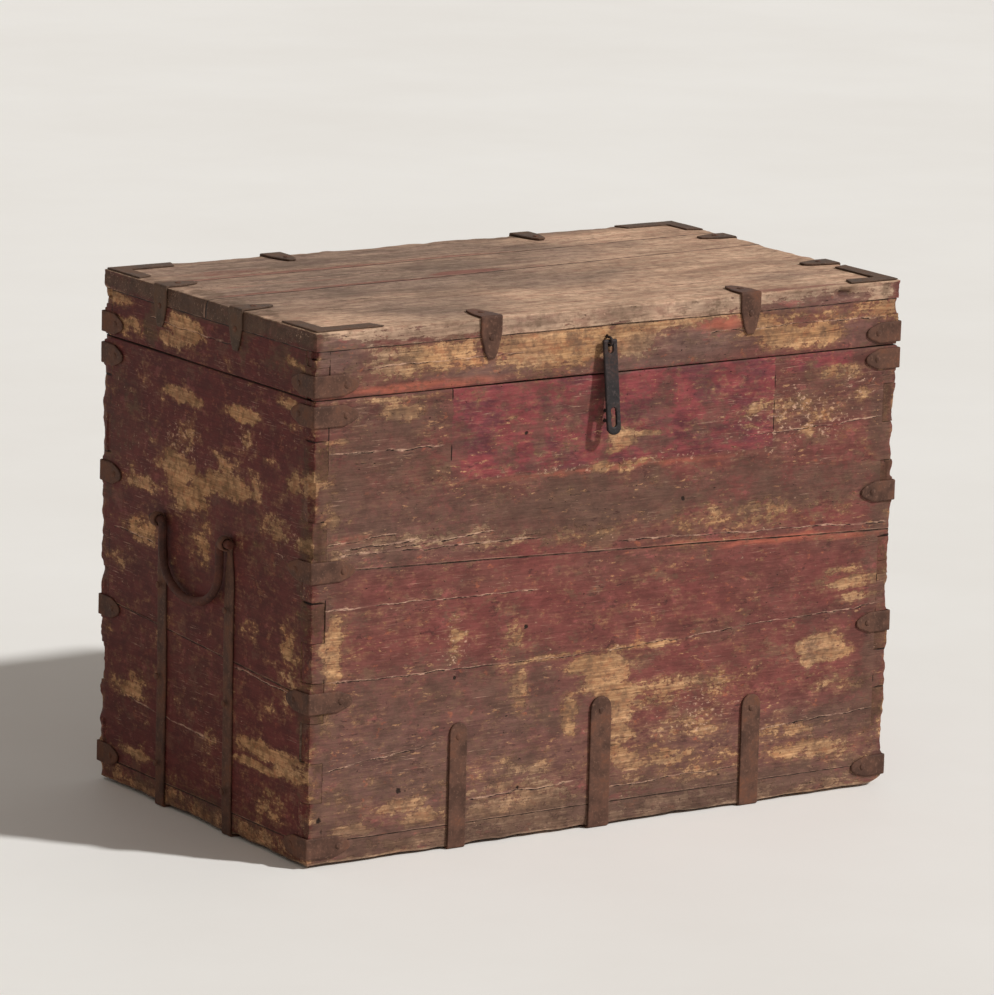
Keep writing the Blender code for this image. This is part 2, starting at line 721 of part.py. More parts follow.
def hinge_lower_leaf(name, x):
    wall_y = HALF_DEPTH + FIT_GAP
    path = [(wall_y, SEAM_HEIGHT - HINGE_LEAF_DROP)]
    path += rolled_eye((wall_y, SEAM_HEIGHT), HINGE_KNUCKLE_RADIUS, math.pi)
    eye_length = HINGE_KNUCKLE_RADIUS * EYE_SWEEP
    eye_tip = [
        (0.0, HINGE_EYE_HALF_WIDTH),
        (eye_length + HINGE_NECK, HINGE_EYE_HALF_WIDTH),
        (eye_length + HINGE_NECK + HINGE_TAPER, HINGE_HALF_WIDTH),
    ]
    strip(name, SIDE_SECTION, x, path, (round_tip(HINGE_HALF_WIDTH), eye_tip), STRAP_THICKNESS, iron, chest)


def hinge_upper_leaf(name, x):
    """Wraps over the lid's back edge; its pin is fixed in two knuckles, with a window between for the eye."""
    axis_y = LID_AXIS.y
    edge = (HALF_DEPTH, TIMBER_TOP)
    path = over_edge(edge, UP, LEFT, TIMBER_TOP - SEAM_HEIGHT, HINGE_ON_TOP)
    tips = (square_tip(HINGE_HALF_WIDTH), pointed_tip(CLIP_TIP_HALF, CLIP_TAPER, HINGE_HALF_WIDTH))
    leaf = strip(name, SIDE_SECTION, x, path, tips, STRAP_THICKNESS, iron, lid_pivot)
    window_half = HINGE_EYE_HALF_WIDTH + RUNNING_GAP
    reach = HINGE_KNUCKLE_RADIUS + RUNNING_GAP
    window = block(
        f"{name}_window",
        (x - window_half, HALF_DEPTH - reach, SEAM_HEIGHT - reach),
        (x + window_half, axis_y + reach, SEAM_HEIGHT + reach),
        lid_pivot,
    )
    for side, sign in (("left", -1), ("right", 1)):
        knuckle = cylinder(
            f"{name}_{side}_knuckle",
            HINGE_KNUCKLE_RADIUS,
            (x + sign * window_half, axis_y, SEAM_HEIGHT),
            (x + sign * HINGE_HALF_WIDTH, axis_y, SEAM_HEIGHT),
            lid_pivot,
        )
        combine(leaf, knuckle, "UNION")
    combine(leaf, window, "DIFFERENCE")
    pin_half = (window_half + HINGE_HALF_WIDTH) / 2
    pin = cylinder(
        f"{name}_pin",
        HINGE_PIN_RADIUS,
        (x - pin_half, axis_y, SEAM_HEIGHT),
        (x + pin_half, axis_y, SEAM_HEIGHT),
        lid_pivot,
    )
    combine(leaf, pin, "UNION")


def make_hinges():
    for side, x in HINGE_X.items():
        hinge_lower_leaf(f"hinge_{side}_lower_leaf", x)
        hinge_upper_leaf(f"hinge_{side}_upper_leaf", x)


# Hasp and staples

def rounded_slot(half_width, low, high):
    """A closed loop with straight sides and half-round ends."""
    top = arc((0.0, high - half_width), half_width, 0.0, math.pi, STAPLE_STEPS)
    bottom = arc((0.0, low + half_width), half_width, math.pi, 2 * math.pi, STAPLE_STEPS)
    return top + bottom


def make_hasp():
    plate = [(HASP_HALF_WIDTH, 0.0), (-HASP_HALF_WIDTH, 0.0)]
    end_centre = (0.0, -HASP_REACH + HASP_HALF_WIDTH)
    plate += arc(end_centre, HASP_HALF_WIDTH, math.pi, 2 * math.pi, 2 * STAPLE_STEPS)
    eye = [
        (HASP_EYE_HALF_WIDTH, -HASP_EYE_TOP),
        (-HASP_EYE_HALF_WIDTH, -HASP_EYE_TOP),
        *arc(
            (0.0, -HASP_EYE_END + HASP_EYE_HALF_WIDTH),
            HASP_EYE_HALF_WIDTH,
            math.pi,
            2 * math.pi,
            STAPLE_STEPS,
        ),
    ]
    slot = rounded_slot(
        HASP_SLOT_HALF_WIDTH,
        -HASP_SLOT_DROP - HASP_SLOT_HALF_HEIGHT,
        -HASP_SLOT_DROP + HASP_SLOT_HALF_HEIGHT,
    )
    outline = flat_piece("hasp", FRONT_SECTION, [plate, eye, slot], 0.0, HASP_THICKNESS, dark_iron, lid_pivot)
    hasp = as_mesh(outline)
    upright = basis(FRONT_SECTION)
    hasp.matrix_basis = (
        Matrix.Translation(HASP_AXIS - LID_AXIS) @ Matrix.Rotation(-HASP_TILT, 4, "X") @ upright
    )
    rim_half = Vector((HASP_HALF_WIDTH, 0.0, 0.0))
    rim = cylinder("hasp_rim", HASP_RIM_RADIUS, HASP_AXIS - rim_half, HASP_AXIS + rim_half, lid_pivot)
    combine(hasp, rim, "UNION")


def staple(name, middle_height, half_height, bend_out, radius, parent):
    """A wire U standing in an upright plane, its two legs through the board and flush with its inner face."""
    face = -HALF_DEPTH
    inner = face + WALL_THICKNESS
    centre = (face - bend_out, middle_height)
    bend = arc(centre, half_height, math.pi / 2, 3 * math.pi / 2, STAPLE_STEPS)
    line = [(inner, middle_height + half_height), *bend, (inner, middle_height - half_height)]
    origin = Vector((HASP_X, face, middle_height))
    wire(name, [(HASP_X, y, z) for y, z in line], radius, origin, STAPLE_ROUNDNESS, dark_iron, parent)


def make_staples():
    lock_bend_out = LOCK_STAPLE_OUT - LOCK_STAPLE_WIRE - LOCK_STAPLE_HALF_HEIGHT
    staple("hasp_staple", HASP_RIM_HEIGHT, HASP_STAPLE_HALF_HEIGHT, HASP_RIM_OUT, HASP_STAPLE_WIRE, lid_pivot)
    staple("lock_staple", LOCK_STAPLE_HEIGHT, LOCK_STAPLE_HALF_HEIGHT, lock_bend_out, LOCK_STAPLE_WIRE, chest)


clear_scene()
chest_parts = new_collection("painted_chest")
cutters = new_collection("cutters")

painted_wood = finish("worn red paint", (0.155, 0.062, 0.050), 0.70, 0.0)
worn_wood = finish("bare weathered board", (0.255, 0.180, 0.115), 0.75, 0.0)
iron = finish("brown forged iron", (0.105, 0.080, 0.068), 0.60, 0.6)
dark_iron = finish("dark forged iron", (0.070, 0.066, 0.070), 0.50, 0.8)

chest = new_empty("chest_frame", (0.0, TIMBER_SHIFT, 0.0), None)
lid_pivot = new_empty("lid_axis", LID_AXIS, chest)

make_box()
make_lid_frame()
make_lid_boards()
make_bands()
make_lid_plates()
make_clips()
make_front_straps()
make_carrying_straps()
make_bails()
make_hinges()
make_hasp()
make_staples()
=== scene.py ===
"""Looks of a worn painted chest: timber, forged iron, floor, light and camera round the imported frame.

Metres, +Z up, with the front facing -Y. Each board is a worn copy of its CAD node. What a board shows is
made in two steps: broad marks are worked out at its vertices and kept as attributes, and its material adds
the fine detail.
"""

import itertools
import json
import math
from collections import namedtuple
from functools import partialmethod

import bmesh
import bpy
import numpy as np
from mathutils import Matrix, Vector

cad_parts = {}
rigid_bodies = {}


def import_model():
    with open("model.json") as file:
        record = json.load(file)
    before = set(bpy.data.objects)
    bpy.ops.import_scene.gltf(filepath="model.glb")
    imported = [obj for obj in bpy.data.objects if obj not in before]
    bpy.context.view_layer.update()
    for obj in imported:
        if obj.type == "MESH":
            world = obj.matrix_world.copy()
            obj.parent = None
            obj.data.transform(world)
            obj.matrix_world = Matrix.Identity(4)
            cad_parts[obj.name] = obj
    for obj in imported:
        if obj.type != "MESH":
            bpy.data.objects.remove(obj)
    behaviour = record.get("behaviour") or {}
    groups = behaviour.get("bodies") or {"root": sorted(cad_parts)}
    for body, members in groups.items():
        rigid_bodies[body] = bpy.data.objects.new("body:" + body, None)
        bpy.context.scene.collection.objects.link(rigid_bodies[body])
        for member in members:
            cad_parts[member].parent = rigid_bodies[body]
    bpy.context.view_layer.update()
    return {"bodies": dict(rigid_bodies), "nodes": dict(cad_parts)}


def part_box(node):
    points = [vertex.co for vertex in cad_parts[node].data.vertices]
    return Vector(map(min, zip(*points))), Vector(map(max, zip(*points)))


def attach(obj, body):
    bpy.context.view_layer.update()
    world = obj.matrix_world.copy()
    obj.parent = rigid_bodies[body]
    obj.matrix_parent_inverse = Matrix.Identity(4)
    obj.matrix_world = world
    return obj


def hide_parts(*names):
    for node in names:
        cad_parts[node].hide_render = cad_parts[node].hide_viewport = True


# Camera, fitted to the chest's corners in the photograph
CAMERA_TARGET = Vector((-0.00264, 0.00409, 0.36574))
CAMERA_DISTANCE = 7.4542
CAMERA_AZIMUTH = math.radians(33.888)
CAMERA_PITCH = math.radians(11.809)
CAMERA_ROLL = math.radians(1.4546)
FOCAL_PIXELS = 5968.8
FRAME_PIXELS = 995
SENSOR_WIDTH = 36.0
CLIP_END = 100.0

# Light and floor
KEY_DIRECTION = Vector((0.60, -0.74, 0.78))
KEY_DISTANCE = 6.0
KEY_ANGLE = math.radians(3.5)
KEY_STRENGTH = 3.05
KEY_COLOUR = (1.0, 1.0, 0.99)
FILL_STRENGTH = 0.265
FILL_COLOUR = (1.0, 0.89, 0.79)
BACKGROUND_COLOUR = (0.84, 0.84, 0.83)
FLOOR_HALF_SIZE = 30.0

# Timber mesh
OCTREE_DEPTH = 7
REMESH_SCALE = 0.98
GRAIN_SQUEEZE = (0.30, 0.36)
CREASE_ANGLE = math.radians(38.0)
CORNER_WEAR_REACH = 0.013
CORNER_WEAR_DEPTH = 0.0050
CORNER_WEAR_POWER = 1.4
# Mean and most wear of an edge, as shares of its depth, and how much of it the iron over an edge keeps off
CORNER_WEAR_MEAN = 0.50
CORNER_WEAR_MOST = 1.4
IRON_SHELTER = 0.75
IRON_SHELTER_MARGIN = 0.004
WEAR_UPRIGHT_SHARE = 0.4
# Paint lost along rubbed edges, evenly and in chips
RUBBED_REACH = 0.009
RUBBED_LOSS = 0.22
RUBBED_CHIPS = 0.40
WALL_THICKNESS = 0.020
LID_RAIL_TOP = 0.626
FINGER_LOW = 0.0306
FINGER_PITCH = 0.04876
FINGER_NOTCH = 0.0024
FINGER_NOTCH_HALF_HEIGHT = 0.0024
FINGER_NOTCH_REACH = 0.026
# Most that fingers are worn short, on the boards along x and along y
FINGER_STEP = (0.0038, 0.0014)
FINGER_STEP_REACH = 0.014
FINGER_STEP_POWER = 1.6
SEAM_HALF_HEIGHT = 0.0021
SEAM_REACH = 0.006
# Depth of the line under the lid, as a share of a slit's, and the noise between which slits open
LID_LINE_SHARE = 0.8
SLIT_OPEN = (-0.25, 0.45)
JOINT_HALF_WIDTH = 0.0005
SURFACE_WAVE = 0.0007
GRAIN_RELIEF = 0.00030
# Lower right front corner, worn off to an ellipse: half axes along x and up, and where the wear fades
WORN_CORNER_X = 0.030
WORN_CORNER_Z = 0.014
WORN_CORNER_FADE = (0.03, 0.10)
# Broken-out spot in the lid's front edge, shallower towards its ragged rim and away from the front
Gouge = namedtuple("Gouge", "along up half_length half_height depth")
GOUGE = Gouge(0.770, 0.637, 0.018, 0.007, 0.007)
GOUGE_MIDDLE = 1.7
GOUGE_SLOPE = 1.4
GOUGE_RAGGED = 0.35
GOUGE_FADE = (0.010, 0.032)
# Painted shade in the broken-out spot: how far its colour goes towards the crack colour at its deepest
GOUGE_PAINTED_SHADE = 0.58

# Iron mesh
IRON_VOXEL = 0.0012
HAMMER_DEPTH = 0.0003
TIMBER_WORDS = ("board", "rail", "bottom_panel")
EDGE_IRON_WORDS = ("band", "plate", "clip", "strap", "leaf")
DARK_IRON_NODES = ("hasp", "hasp_staple", "lock_staple")
PAINTED_IRON_WORDS = ("bail",)
SOILED_IRON_WORDS = ("lid_clip_left", "lid_clip_right", "lid_plate", "upper_leaf")
STRAP_WOBBLE = 0.0022
STRAP_WOBBLE_FADE = (0.23, 0.33)

# Nails
NAIL_SIDES = 9
NAIL_PROFILE = ((1.0, -0.0010), (1.0, 0.0003), (0.82, 0.0010), (0.45, 0.0014))
NAIL_RADIUS = 0.0042
NAIL_REACH_RANGE = (0.86, 1.10)
NAIL_RISE_RANGE = (0.85, 1.15)
BAND_NAIL_INSET = 0.017
HINGE_NAIL_INSET = 0.015
HINGE_LEAF_THICKNESS = 0.003
CARRYING_NAIL_HEIGHTS = (0.055, 0.165, 0.280)
BAIL_EYE_PROUD = 0.010
NAIL_SEED = 23


def srgb(red, green, blue):
    """A linear colour from the 0 to 255 values of a screen colour."""
    linear = []
    for value in (red / 255, green / 255, blue / 255):
        linear.append(value / 12.92 if value <= 0.04045 else ((value + 0.055) / 1.055) ** 2.4)
    return tuple(linear)


# Sheen
DULL_SPECULAR = 0.14
DARK_IRON_SPECULAR = 0.30

# Paint
PAINT_BROWN = srgb(102, 65, 57)
PAINT_RED = srgb(115, 61, 57)
PAINT_DARK = srgb(86, 49, 46)
# Deep red paint of the left side, partly its own colour and partly painted shade: darker to deepen the side
# that the key light misses
PAINT_MAROON_AND_SHADE = srgb(80, 31, 28)
PAINT_CRIMSON = srgb(130, 62, 64)
PAINT_PLUM = srgb(97, 50, 55)
PAINT_ORANGE = srgb(182, 100, 78)
PAINT_MAUVE = srgb(108, 80, 72)
PAINT_PALE = srgb(212, 170, 146)
PAINT_ROSE = srgb(150, 84, 80)
PAINT_OLIVE = srgb(110, 84, 66)
PAINT_EMBER = srgb(160, 92, 66)
PAINT_DUSK = srgb(62, 38, 36)

# Thin washes in the paint: colour, fineness, the noise at which one begins and is full, and its strength
WASHES = (
    (PAINT_ROSE, 38.0, 0.58, 0.63, 0.50),
    (PAINT_OLIVE, 27.0, 0.56, 0.62, 0.56),
    (PAINT_EMBER, 82.0, 0.595, 0.635, 0.54),
    (PAINT_DUSK, 55.0, 0.59, 0.64, 0.58),
)

# Timber
Wood = namedtuple("Wood", "dark middle light stain")
FRESH_WOOD = Wood(srgb(138, 99, 71), srgb(182, 136, 96), srgb(209, 164, 120), srgb(158, 99, 69))
PALE_WOOD = Wood(srgb(158, 122, 102), srgb(206, 169, 141), srgb(230, 197, 167), srgb(166, 121, 101))
AGED_WOOD = Wood(srgb(95, 78, 67), srgb(140, 116, 100), srgb(177, 150, 130), srgb(114, 87, 79))
SOIL = srgb(92, 69, 58)
# Olive soil of the end sides, partly its own colour and partly painted shade: darker to deepen the side that
# the key light misses
SOIL_OLIVE_AND_SHADE = srgb(78, 58, 41)
SOIL_DARK = srgb(80, 61, 47)
SEAM_STAIN = srgb(132, 84, 74)
CRACK = srgb(40, 28, 23)

# Floor
FLOOR_LIGHT = srgb(244, 243, 240)
FLOOR_DARK = srgb(238, 236, 232)

# Iron
Iron = namedtuple("Iron", "dark middle light rust metallic roughness")
BROWN_IRON = Iron(srgb(72, 50, 41), srgb(98, 69, 57), srgb(124, 92, 76), srgb(116, 73, 53), 0.0, 0.72)
SOILED_IRON = Iron(srgb(70, 54, 44), srgb(94, 74, 62), srgb(120, 97, 82), srgb(98, 69, 53), 0.0, 0.76)
PAINTED_IRON = Iron(srgb(58, 37, 32), srgb(84, 53, 45), srgb(106, 74, 61), srgb(104, 60, 46), 0.0, 0.68)
DARK_IRON = Iron(srgb(20, 15, 15), srgb(38, 30, 30), srgb(76, 63, 62), srgb(68, 45, 37), 0.10, 0.56)

# Marks are ellipses on a face: middle along, middle up, half length and half height, which the lists give in
# millimetres, and strength, which they give in per cent. Along runs from the left end of a side, as one faces
# it, and up is the height above the floor. On the top, up is the distance behind the front edge.
BASE_LOSS = 0.07
BASE_SOIL = 0.16
BASE_GREY = 0.10
MARK_KINDS = "bare kept soil red crimson orange mauve maroon grey fleck stain".split()
NO_MARKS = [()] * len(MARK_KINDS) + [BASE_SOIL, BASE_GREY]
Marks = namedtuple("Marks", MARK_KINDS + ["base_soil", "base_grey"], defaults=NO_MARKS)
# What the wood away from the outer faces has
INNER_COAT = {
    "loss": BASE_LOSS,
    "soil": BASE_SOIL,
    "grey": 0.3,
    "crimson": 0.0,
    "fleck": 0.0,
    "stain": 0.0,
    "inside": 1.0,
}
# How far out a mark ends, in half sizes of its ellipse; it fades over the last one
MARK_END = 1.55
# How far noise moves the outlines of marks, and how much loss and grey it adds between them
WARP_ALONG = 0.010
WARP_UP = 0.005
PATCH_LOSS = 0.24
CLOUD_GREY = 0.25
# A vertex has the marks of a face where it turns towards that face and lies close to it
FACE_TURN = (0.2, 0.7)
FACE_DEPTH = (0.004, 0.010)
# Made-up marks of the hidden sides
SCATTER_HALF_LENGTH = (0.012, 0.06)
SCATTER_HEIGHT_SHARE = (0.2, 0.5)
SCATTER_WEAKEST = 0.4
BACK_SEED = 5
RIGHT_SEED = 9


def ellipses(*marks):
    """Marks in metres and shares."""
    return tuple((*(value / 1000 for value in place), most / 100) for *place, most in marks)


FRONT_MARKS = Marks(
    bare=ellipses(
        # Round the middle strap
        (415, 205, 42, 14, 100), (424, 186, 30, 18, 100), (447, 166, 30, 13, 90),
        (450, 140, 15, 26, 85), (448, 108, 20, 22, 80), (462, 84, 30, 11, 75), (372, 148, 13, 24, 70),
        (340, 222, 70, 4, 65), (480, 222, 60, 5, 65),
        # Between the middle and the right strap
        (520, 168, 52, 12, 62), (500, 150, 45, 9, 58), (545, 112, 60, 16, 50), (575, 104, 36, 8, 60),
        (500, 76, 60, 10, 60), (610, 160, 40, 20, 36),
        # Right end
        (752, 192, 32, 13, 100), (772, 182, 26, 9, 90), (736, 178, 14, 11, 80), (800, 270, 48, 9, 66),
        (812, 250, 40, 6, 58), (790, 286, 32, 5, 50), (735, 62, 64, 13, 72), (700, 88, 60, 10, 50),
        (790, 140, 50, 10, 40), (770, 540, 42, 10, 46), (800, 508, 14, 8, 58), (722, 471, 9, 8, 85),
        (745, 490, 26, 11, 46), (690, 500, 60, 20, 40), (642, 506, 20, 6, 60), (640, 481, 13, 5, 60),
        # Under the hasp
        (440, 486, 14, 13, 100), (474, 489, 23, 4, 75), (430, 471, 12, 5, 75), (415, 452, 15, 6, 85),
        (447, 450, 8, 8, 70), (470, 453, 24, 4, 60),
        # Left end
        (122, 546, 25, 12, 85), (120, 561, 45, 4, 60), (35, 517, 20, 4, 75), (30, 262, 12, 40, 85),
        (24, 180, 12, 18, 60), (22, 440, 12, 60, 45), (204, 255, 7, 28, 58), (216, 266, 14, 6, 55),
        (301, 184, 12, 26, 64), (288, 250, 14, 18, 44),
        # Lower left
        (128, 62, 42, 9, 72), (168, 46, 40, 10, 66), (150, 16, 50, 7, 72), (295, 78, 55, 20, 56),
        (320, 62, 35, 20, 60), (60, 40, 40, 9, 60),
        # Weathered foot
        (310, 36, 90, 28, 56), (430, 50, 430, 50, 28), (430, 16, 440, 12, 42),
        # Splintered wood above the long seam
        (120, 386, 120, 12, 46), (330, 376, 120, 10, 44), (650, 372, 120, 16, 40),
        # Lid
        (420, 610, 430, 30, 56), (140, 608, 80, 20, 66), (330, 604, 85, 28, 88), (500, 624, 70, 13, 80),
        (450, 604, 45, 22, 85), (715, 588, 70, 14, 90), (655, 602, 45, 10, 70), (830, 618, 30, 20, 55),
        (430, 639, 440, 11, 86),
    ),
    kept=ellipses(
        (550, 594, 60, 17, 55), (465, 576, 70, 9, 40), (725, 632, 70, 11, 45), (28, 624, 34, 24, 40),
        (250, 582, 60, 8, 35), (800, 588, 30, 14, 40), (580, 613, 32, 8, 50), (150, 574, 95, 6, 55),
    ),
    soil=ellipses(
        (90, 470, 110, 90, 34), (390, 408, 170, 34, 42), (690, 400, 180, 34, 26),
        (230, 170, 160, 70, 20), (420, 20, 430, 28, 40), (120, 100, 100, 30, 22), (40, 66, 50, 40, 36),
        (800, 100, 60, 40, 26), (430, 600, 420, 36, 6), (430, 510, 240, 60, 16),
        (840, 330, 22, 240, 34), (12, 330, 18, 260, 24),
    ),
    red=ellipses(
        (380, 270, 330, 50, 75), (620, 165, 200, 45, 75), (250, 345, 200, 16, 55),
        (620, 300, 200, 30, 60), (160, 430, 60, 40, 40), (560, 425, 50, 30, 55), (240, 110, 16, 40, 80),
        (700, 420, 100, 20, 40),
    ),
    crimson=ellipses(
        (740, 556, 80, 16, 55), (760, 520, 60, 30, 40), (470, 36, 32, 5, 100), (520, 33, 28, 3, 80),
    ),
    orange=ellipses(
        (150, 574, 95, 5, 70), (430, 449, 150, 3, 45), (205, 456, 14, 5, 55), (560, 343, 70, 3, 55),
        (680, 336, 80, 4, 70), (790, 330, 60, 3, 60), (580, 613, 30, 7, 60), (60, 394, 40, 4, 45),
        (320, 478, 18, 5, 55),
    ),
    mauve=ellipses(
        (550, 594, 70, 20, 100), (465, 576, 80, 12, 90), (725, 632, 80, 14, 70), (28, 624, 40, 30, 100),
        (250, 582, 70, 12, 80), (800, 588, 40, 20, 70), (430, 642, 430, 8, 45), (430, 20, 430, 30, 70),
        (180, 110, 220, 90, 60), (40, 70, 60, 40, 60), (640, 70, 220, 50, 40), (110, 400, 140, 40, 40),
    ),
    grey=ellipses(
        (430, 18, 440, 24, 60), (300, 60, 150, 30, 45), (160, 386, 180, 22, 45),
        (430, 640, 440, 13, 50), (50, 605, 70, 36, 55), (520, 590, 70, 22, 60),
    ),
    fleck=ellipses(
        (700, 488, 100, 36, 100), (790, 520, 30, 20, 90), (560, 130, 70, 34, 90),
        (205, 250, 26, 34, 100), (430, 454, 200, 8, 80), (700, 90, 80, 30, 60),
    ),
)
LEFT_MARKS = Marks(
    bare=ellipses(
        (195, 522, 46, 8, 100), (330, 523, 37, 8, 100), (184, 431, 38, 19, 95), (206, 402, 46, 18, 70),
        (302, 431, 44, 15, 100), (292, 457, 34, 9, 75), (245, 421, 34, 12, 75), (366, 440, 11, 18, 62),
        (405, 401, 36, 14, 56), (105, 397, 45, 9, 62), (74, 402, 14, 14, 55), (106, 336, 30, 16, 68),
        (240, 346, 30, 20, 46), (470, 461, 30, 13, 64), (475, 390, 18, 12, 58), (400, 122, 75, 10, 90),
        (385, 101, 55, 5, 85), (450, 110, 40, 7, 75), (272, 111, 18, 10, 56), (66, 131, 42, 11, 64),
        (92, 148, 30, 9, 52), (98, 52, 28, 6, 54), (386, 172, 30, 10, 38), (448, 245, 24, 50, 40),
        (362, 262, 18, 20, 40), (420, 60, 40, 20, 38), (50, 290, 30, 12, 36), (205, 470, 30, 20, 36),
        (345, 494, 8, 12, 60), (36, 622, 42, 11, 85), (188, 606, 40, 26, 85), (160, 585, 50, 9, 75),
        (452, 606, 20, 6, 50), (60, 586, 60, 12, 55), (430, 556, 20, 8, 60), (250, 16, 260, 12, 45),
    ),
    kept=ellipses(
        (250, 642, 400, 18, 90), (248, 456, 30, 8, 60),
    ),
    soil=ellipses(
        (250, 640, 260, 16, 95), (118, 606, 16, 30, 60), (332, 606, 14, 30, 50), (440, 604, 50, 34, 45),
        (380, 380, 110, 80, 24), (50, 470, 60, 80, 30), (480, 330, 16, 280, 44), (10, 330, 16, 280, 30),
        (250, 20, 250, 20, 40), (200, 170, 120, 50, 20),
    ),
    red=ellipses(
        (280, 490, 160, 70, 60), (380, 600, 80, 30, 60), (240, 90, 150, 50, 50), (400, 200, 80, 50, 50),
    ),
    # Deep red over the whole left side and more of it in the upper part: the side's paint, and painted shade
    # that darkens the upper part against the brighter fill light there
    maroon=ellipses(
        (250, 300, 600, 600, 75), (250, 560, 500, 150, 95),
    ),
    fleck=ellipses(
        (200, 470, 50, 30, 90), (340, 490, 20, 30, 80), (250, 455, 100, 20, 70), (90, 430, 50, 40, 60),
        (430, 400, 60, 40, 50),
    ),
    base_soil=-0.06,
)
TOP_MARKS = Marks(
    bare=ellipses(
        (430, 250, 900, 900, 95),
    ),
    soil=ellipses(
        (430, 480, 430, 14, 30), (14, 250, 30, 240, 46), (80, 420, 80, 50, 24), (845, 250, 16, 240, 26),
        (430, 200, 200, 60, 18),
    ),
    stain=ellipses(
        (392, 284, 48, 12, 100), (250, 268, 120, 6, 75), (100, 260, 90, 6, 70), (110, 405, 70, 18, 50),
        (240, 379, 120, 7, 80), (80, 372, 80, 6, 65), (450, 388, 120, 6, 55), (500, 282, 80, 8, 40),
        (150, 310, 160, 5, 45), (700, 10, 80, 10, 60),
    ),
    grey=ellipses(
        (230, 260, 280, 90, 85), (300, 335, 300, 50, 85), (215, 100, 100, 80, 75),
        (440, 190, 120, 50, 75), (565, 212, 40, 20, 65), (560, 370, 80, 80, 75),
        (260, 440, 290, 50, 95), (460, 440, 110, 60, 80), (30, 200, 50, 60, 70),
        (100, 300, 120, 200, 60), (730, 90, 60, 24, 50), (690, 372, 30, 20, 50),
        (430, 486, 430, 12, 60),
    ),
    base_soil=-0.10,
    base_grey=0.12,
)
BOTTOM_MARKS = Marks(bare=TOP_MARKS.bare, soil=TOP_MARKS.soil, base_grey=0.8)

# Panels are upright rectangles of paint: left, low, right and high
FRONT_PANELS = ((0.193, 0.454, 0.668, 0.568),)
PANEL_SIDE_RAMP = 0.010
PANEL_LEVEL_RAMP = 0.022
# Edges of the panel scored into the wood: along, low, high and half width
PANEL_EDGES = ((0.193, 0.452, 0.566, 0.0006), (0.668, 0.470, 0.566, 0.0005))

# Cracks run nearly along the grain: along and up at one end, along and up at the other, in millimetres, and
# half width, in tenths of them. They wander up and down by the bend.
CRACK_BEND = 0.007
SEAM_BEND = 0.0012
SEAM_LEAST_OPEN = 0.60


def in_metres(*rows):
    """Cracks or holes in metres."""
    return tuple((*(value / 1000 for value in place), width / 10000) for *place, width in rows)


FRONT_CRACKS = in_metres(
    (10, 314, 330, 309, 6), (20, 224, 420, 221, 6), (400, 220, 850, 238, 5), (20, 116, 190, 136, 5),
    (660, 94, 850, 104, 6), (225, 58, 400, 62, 6), (400, 46, 640, 52, 5), (20, 501, 185, 499, 6),
    (30, 378, 330, 374, 8), (40, 384, 150, 388, 7), (110, 382, 260, 387, 7), (20, 392, 120, 398, 6),
    (430, 358, 860, 341, 6), (620, 470, 850, 478, 5), (60, 600, 300, 603, 5), (560, 604, 860, 606, 5),
)
LEFT_CRACKS = in_metres(
    (30, 331, 130, 328, 7), (320, 213, 480, 205, 7), (60, 120, 260, 110, 6), (110, 606, 330, 604, 6),
)
TOP_CRACKS = in_metres(
    (20, 325, 330, 335, 8), (420, 90, 860, 98, 5), (60, 176, 300, 180, 6), (500, 420, 860, 430, 6),
)
BACK_CRACKS = in_metres(
    (40, 180, 420, 186, 6), (360, 452, 840, 446, 6), (90, 602, 600, 606, 5),
)
RIGHT_CRACKS = in_metres(
    (20, 410, 300, 404, 6), (180, 150, 480, 158, 6),
)
# Holes in the front that nails and knots have left: along, up and, in tenths of a millimetre, radius
FRONT_HOLES = in_metres(
    (128, 81, 32), (205, 212, 24), (307, 264, 30), (534, 401, 28), (300, 503, 24), (300, 64, 22),
    (16, 58, 30), (14, 420, 26),
)
# Level joints between boards, like cracks, in metres: under the lid's boards and above the bottom panel
LEVEL_SEAMS = ((-0.05, 0.6258, 0.95, 0.6258, 0.0007), (-0.05, 0.0306, 0.95, 0.0306, 0.0006))
FRONT_SEAMS = LEVEL_SEAMS + ((-0.05, 0.3640, 0.90, 0.3304, 0.0008),)
LEFT_SEAMS = LEVEL_SEAMS + ((-0.05, 0.2381, 0.53, 0.2067, 0.0007),)
TOP_SEAMS = ((-0.05, 0.249, 0.90, 0.302, 0.0020), (-0.05, 0.365, 0.90, 0.401, 0.0020))

# Where the outer faces of the timber lie, and the height of the seam under the lid
Timber = namedtuple("Timber", "left right front back floor top seam")


# Noise that numpy works out at many points at once

def lattice_value(x, y, z, seed):
    """A repeatable value from -1 to 1 at whole-number points."""
    mixed = (x * 374761393 + y * 668265263 + z * 1440662683 + seed * 974634757) & 0xFFFFFFFF
    mixed = ((mixed ^ (mixed >> 13)) * 1274126177) & 0xFFFFFFFF
    mixed ^= mixed >> 16
    return mixed / 0x7FFFFFFF - 1.0


def value_noise(points, seed):
    cell = np.floor(points).astype(np.int64)
    offset = points - cell
    ease = offset * offset * (3.0 - 2.0 * offset)
    total = np.zeros(len(points))
    for corner in itertools.product((0, 1), repeat=3):
        weight = np.ones(len(points))
        for axis, high in enumerate(corner):
            weight *= ease[:, axis] if high else 1.0 - ease[:, axis]
        total += weight * lattice_value(*(cell + corner).T, seed)
    return total


def fractal(points, scale, seed, octaves=3):
    """Layered noise, about -1 to 1; scale is in cells per metre along x, y and z."""
    total = np.zeros(len(points))
    share = 1.0
    whole = 0.0
    for octave in range(octaves):
        total += share * value_noise(points * np.array(scale) * 2.0**octave, seed + 31 * octave)
        whole += share
        share *= 0.5
    return total / whole


def smoothstep(low, high, value):
    share = np.clip((value - low) / (high - low), 0.0, 1.0)
    return share * share * (3.0 - 2.0 * share)


def blend(first, second, share):
    return first + (np.asarray(second) - first) * share[:, None]


# Broad marks on the timber

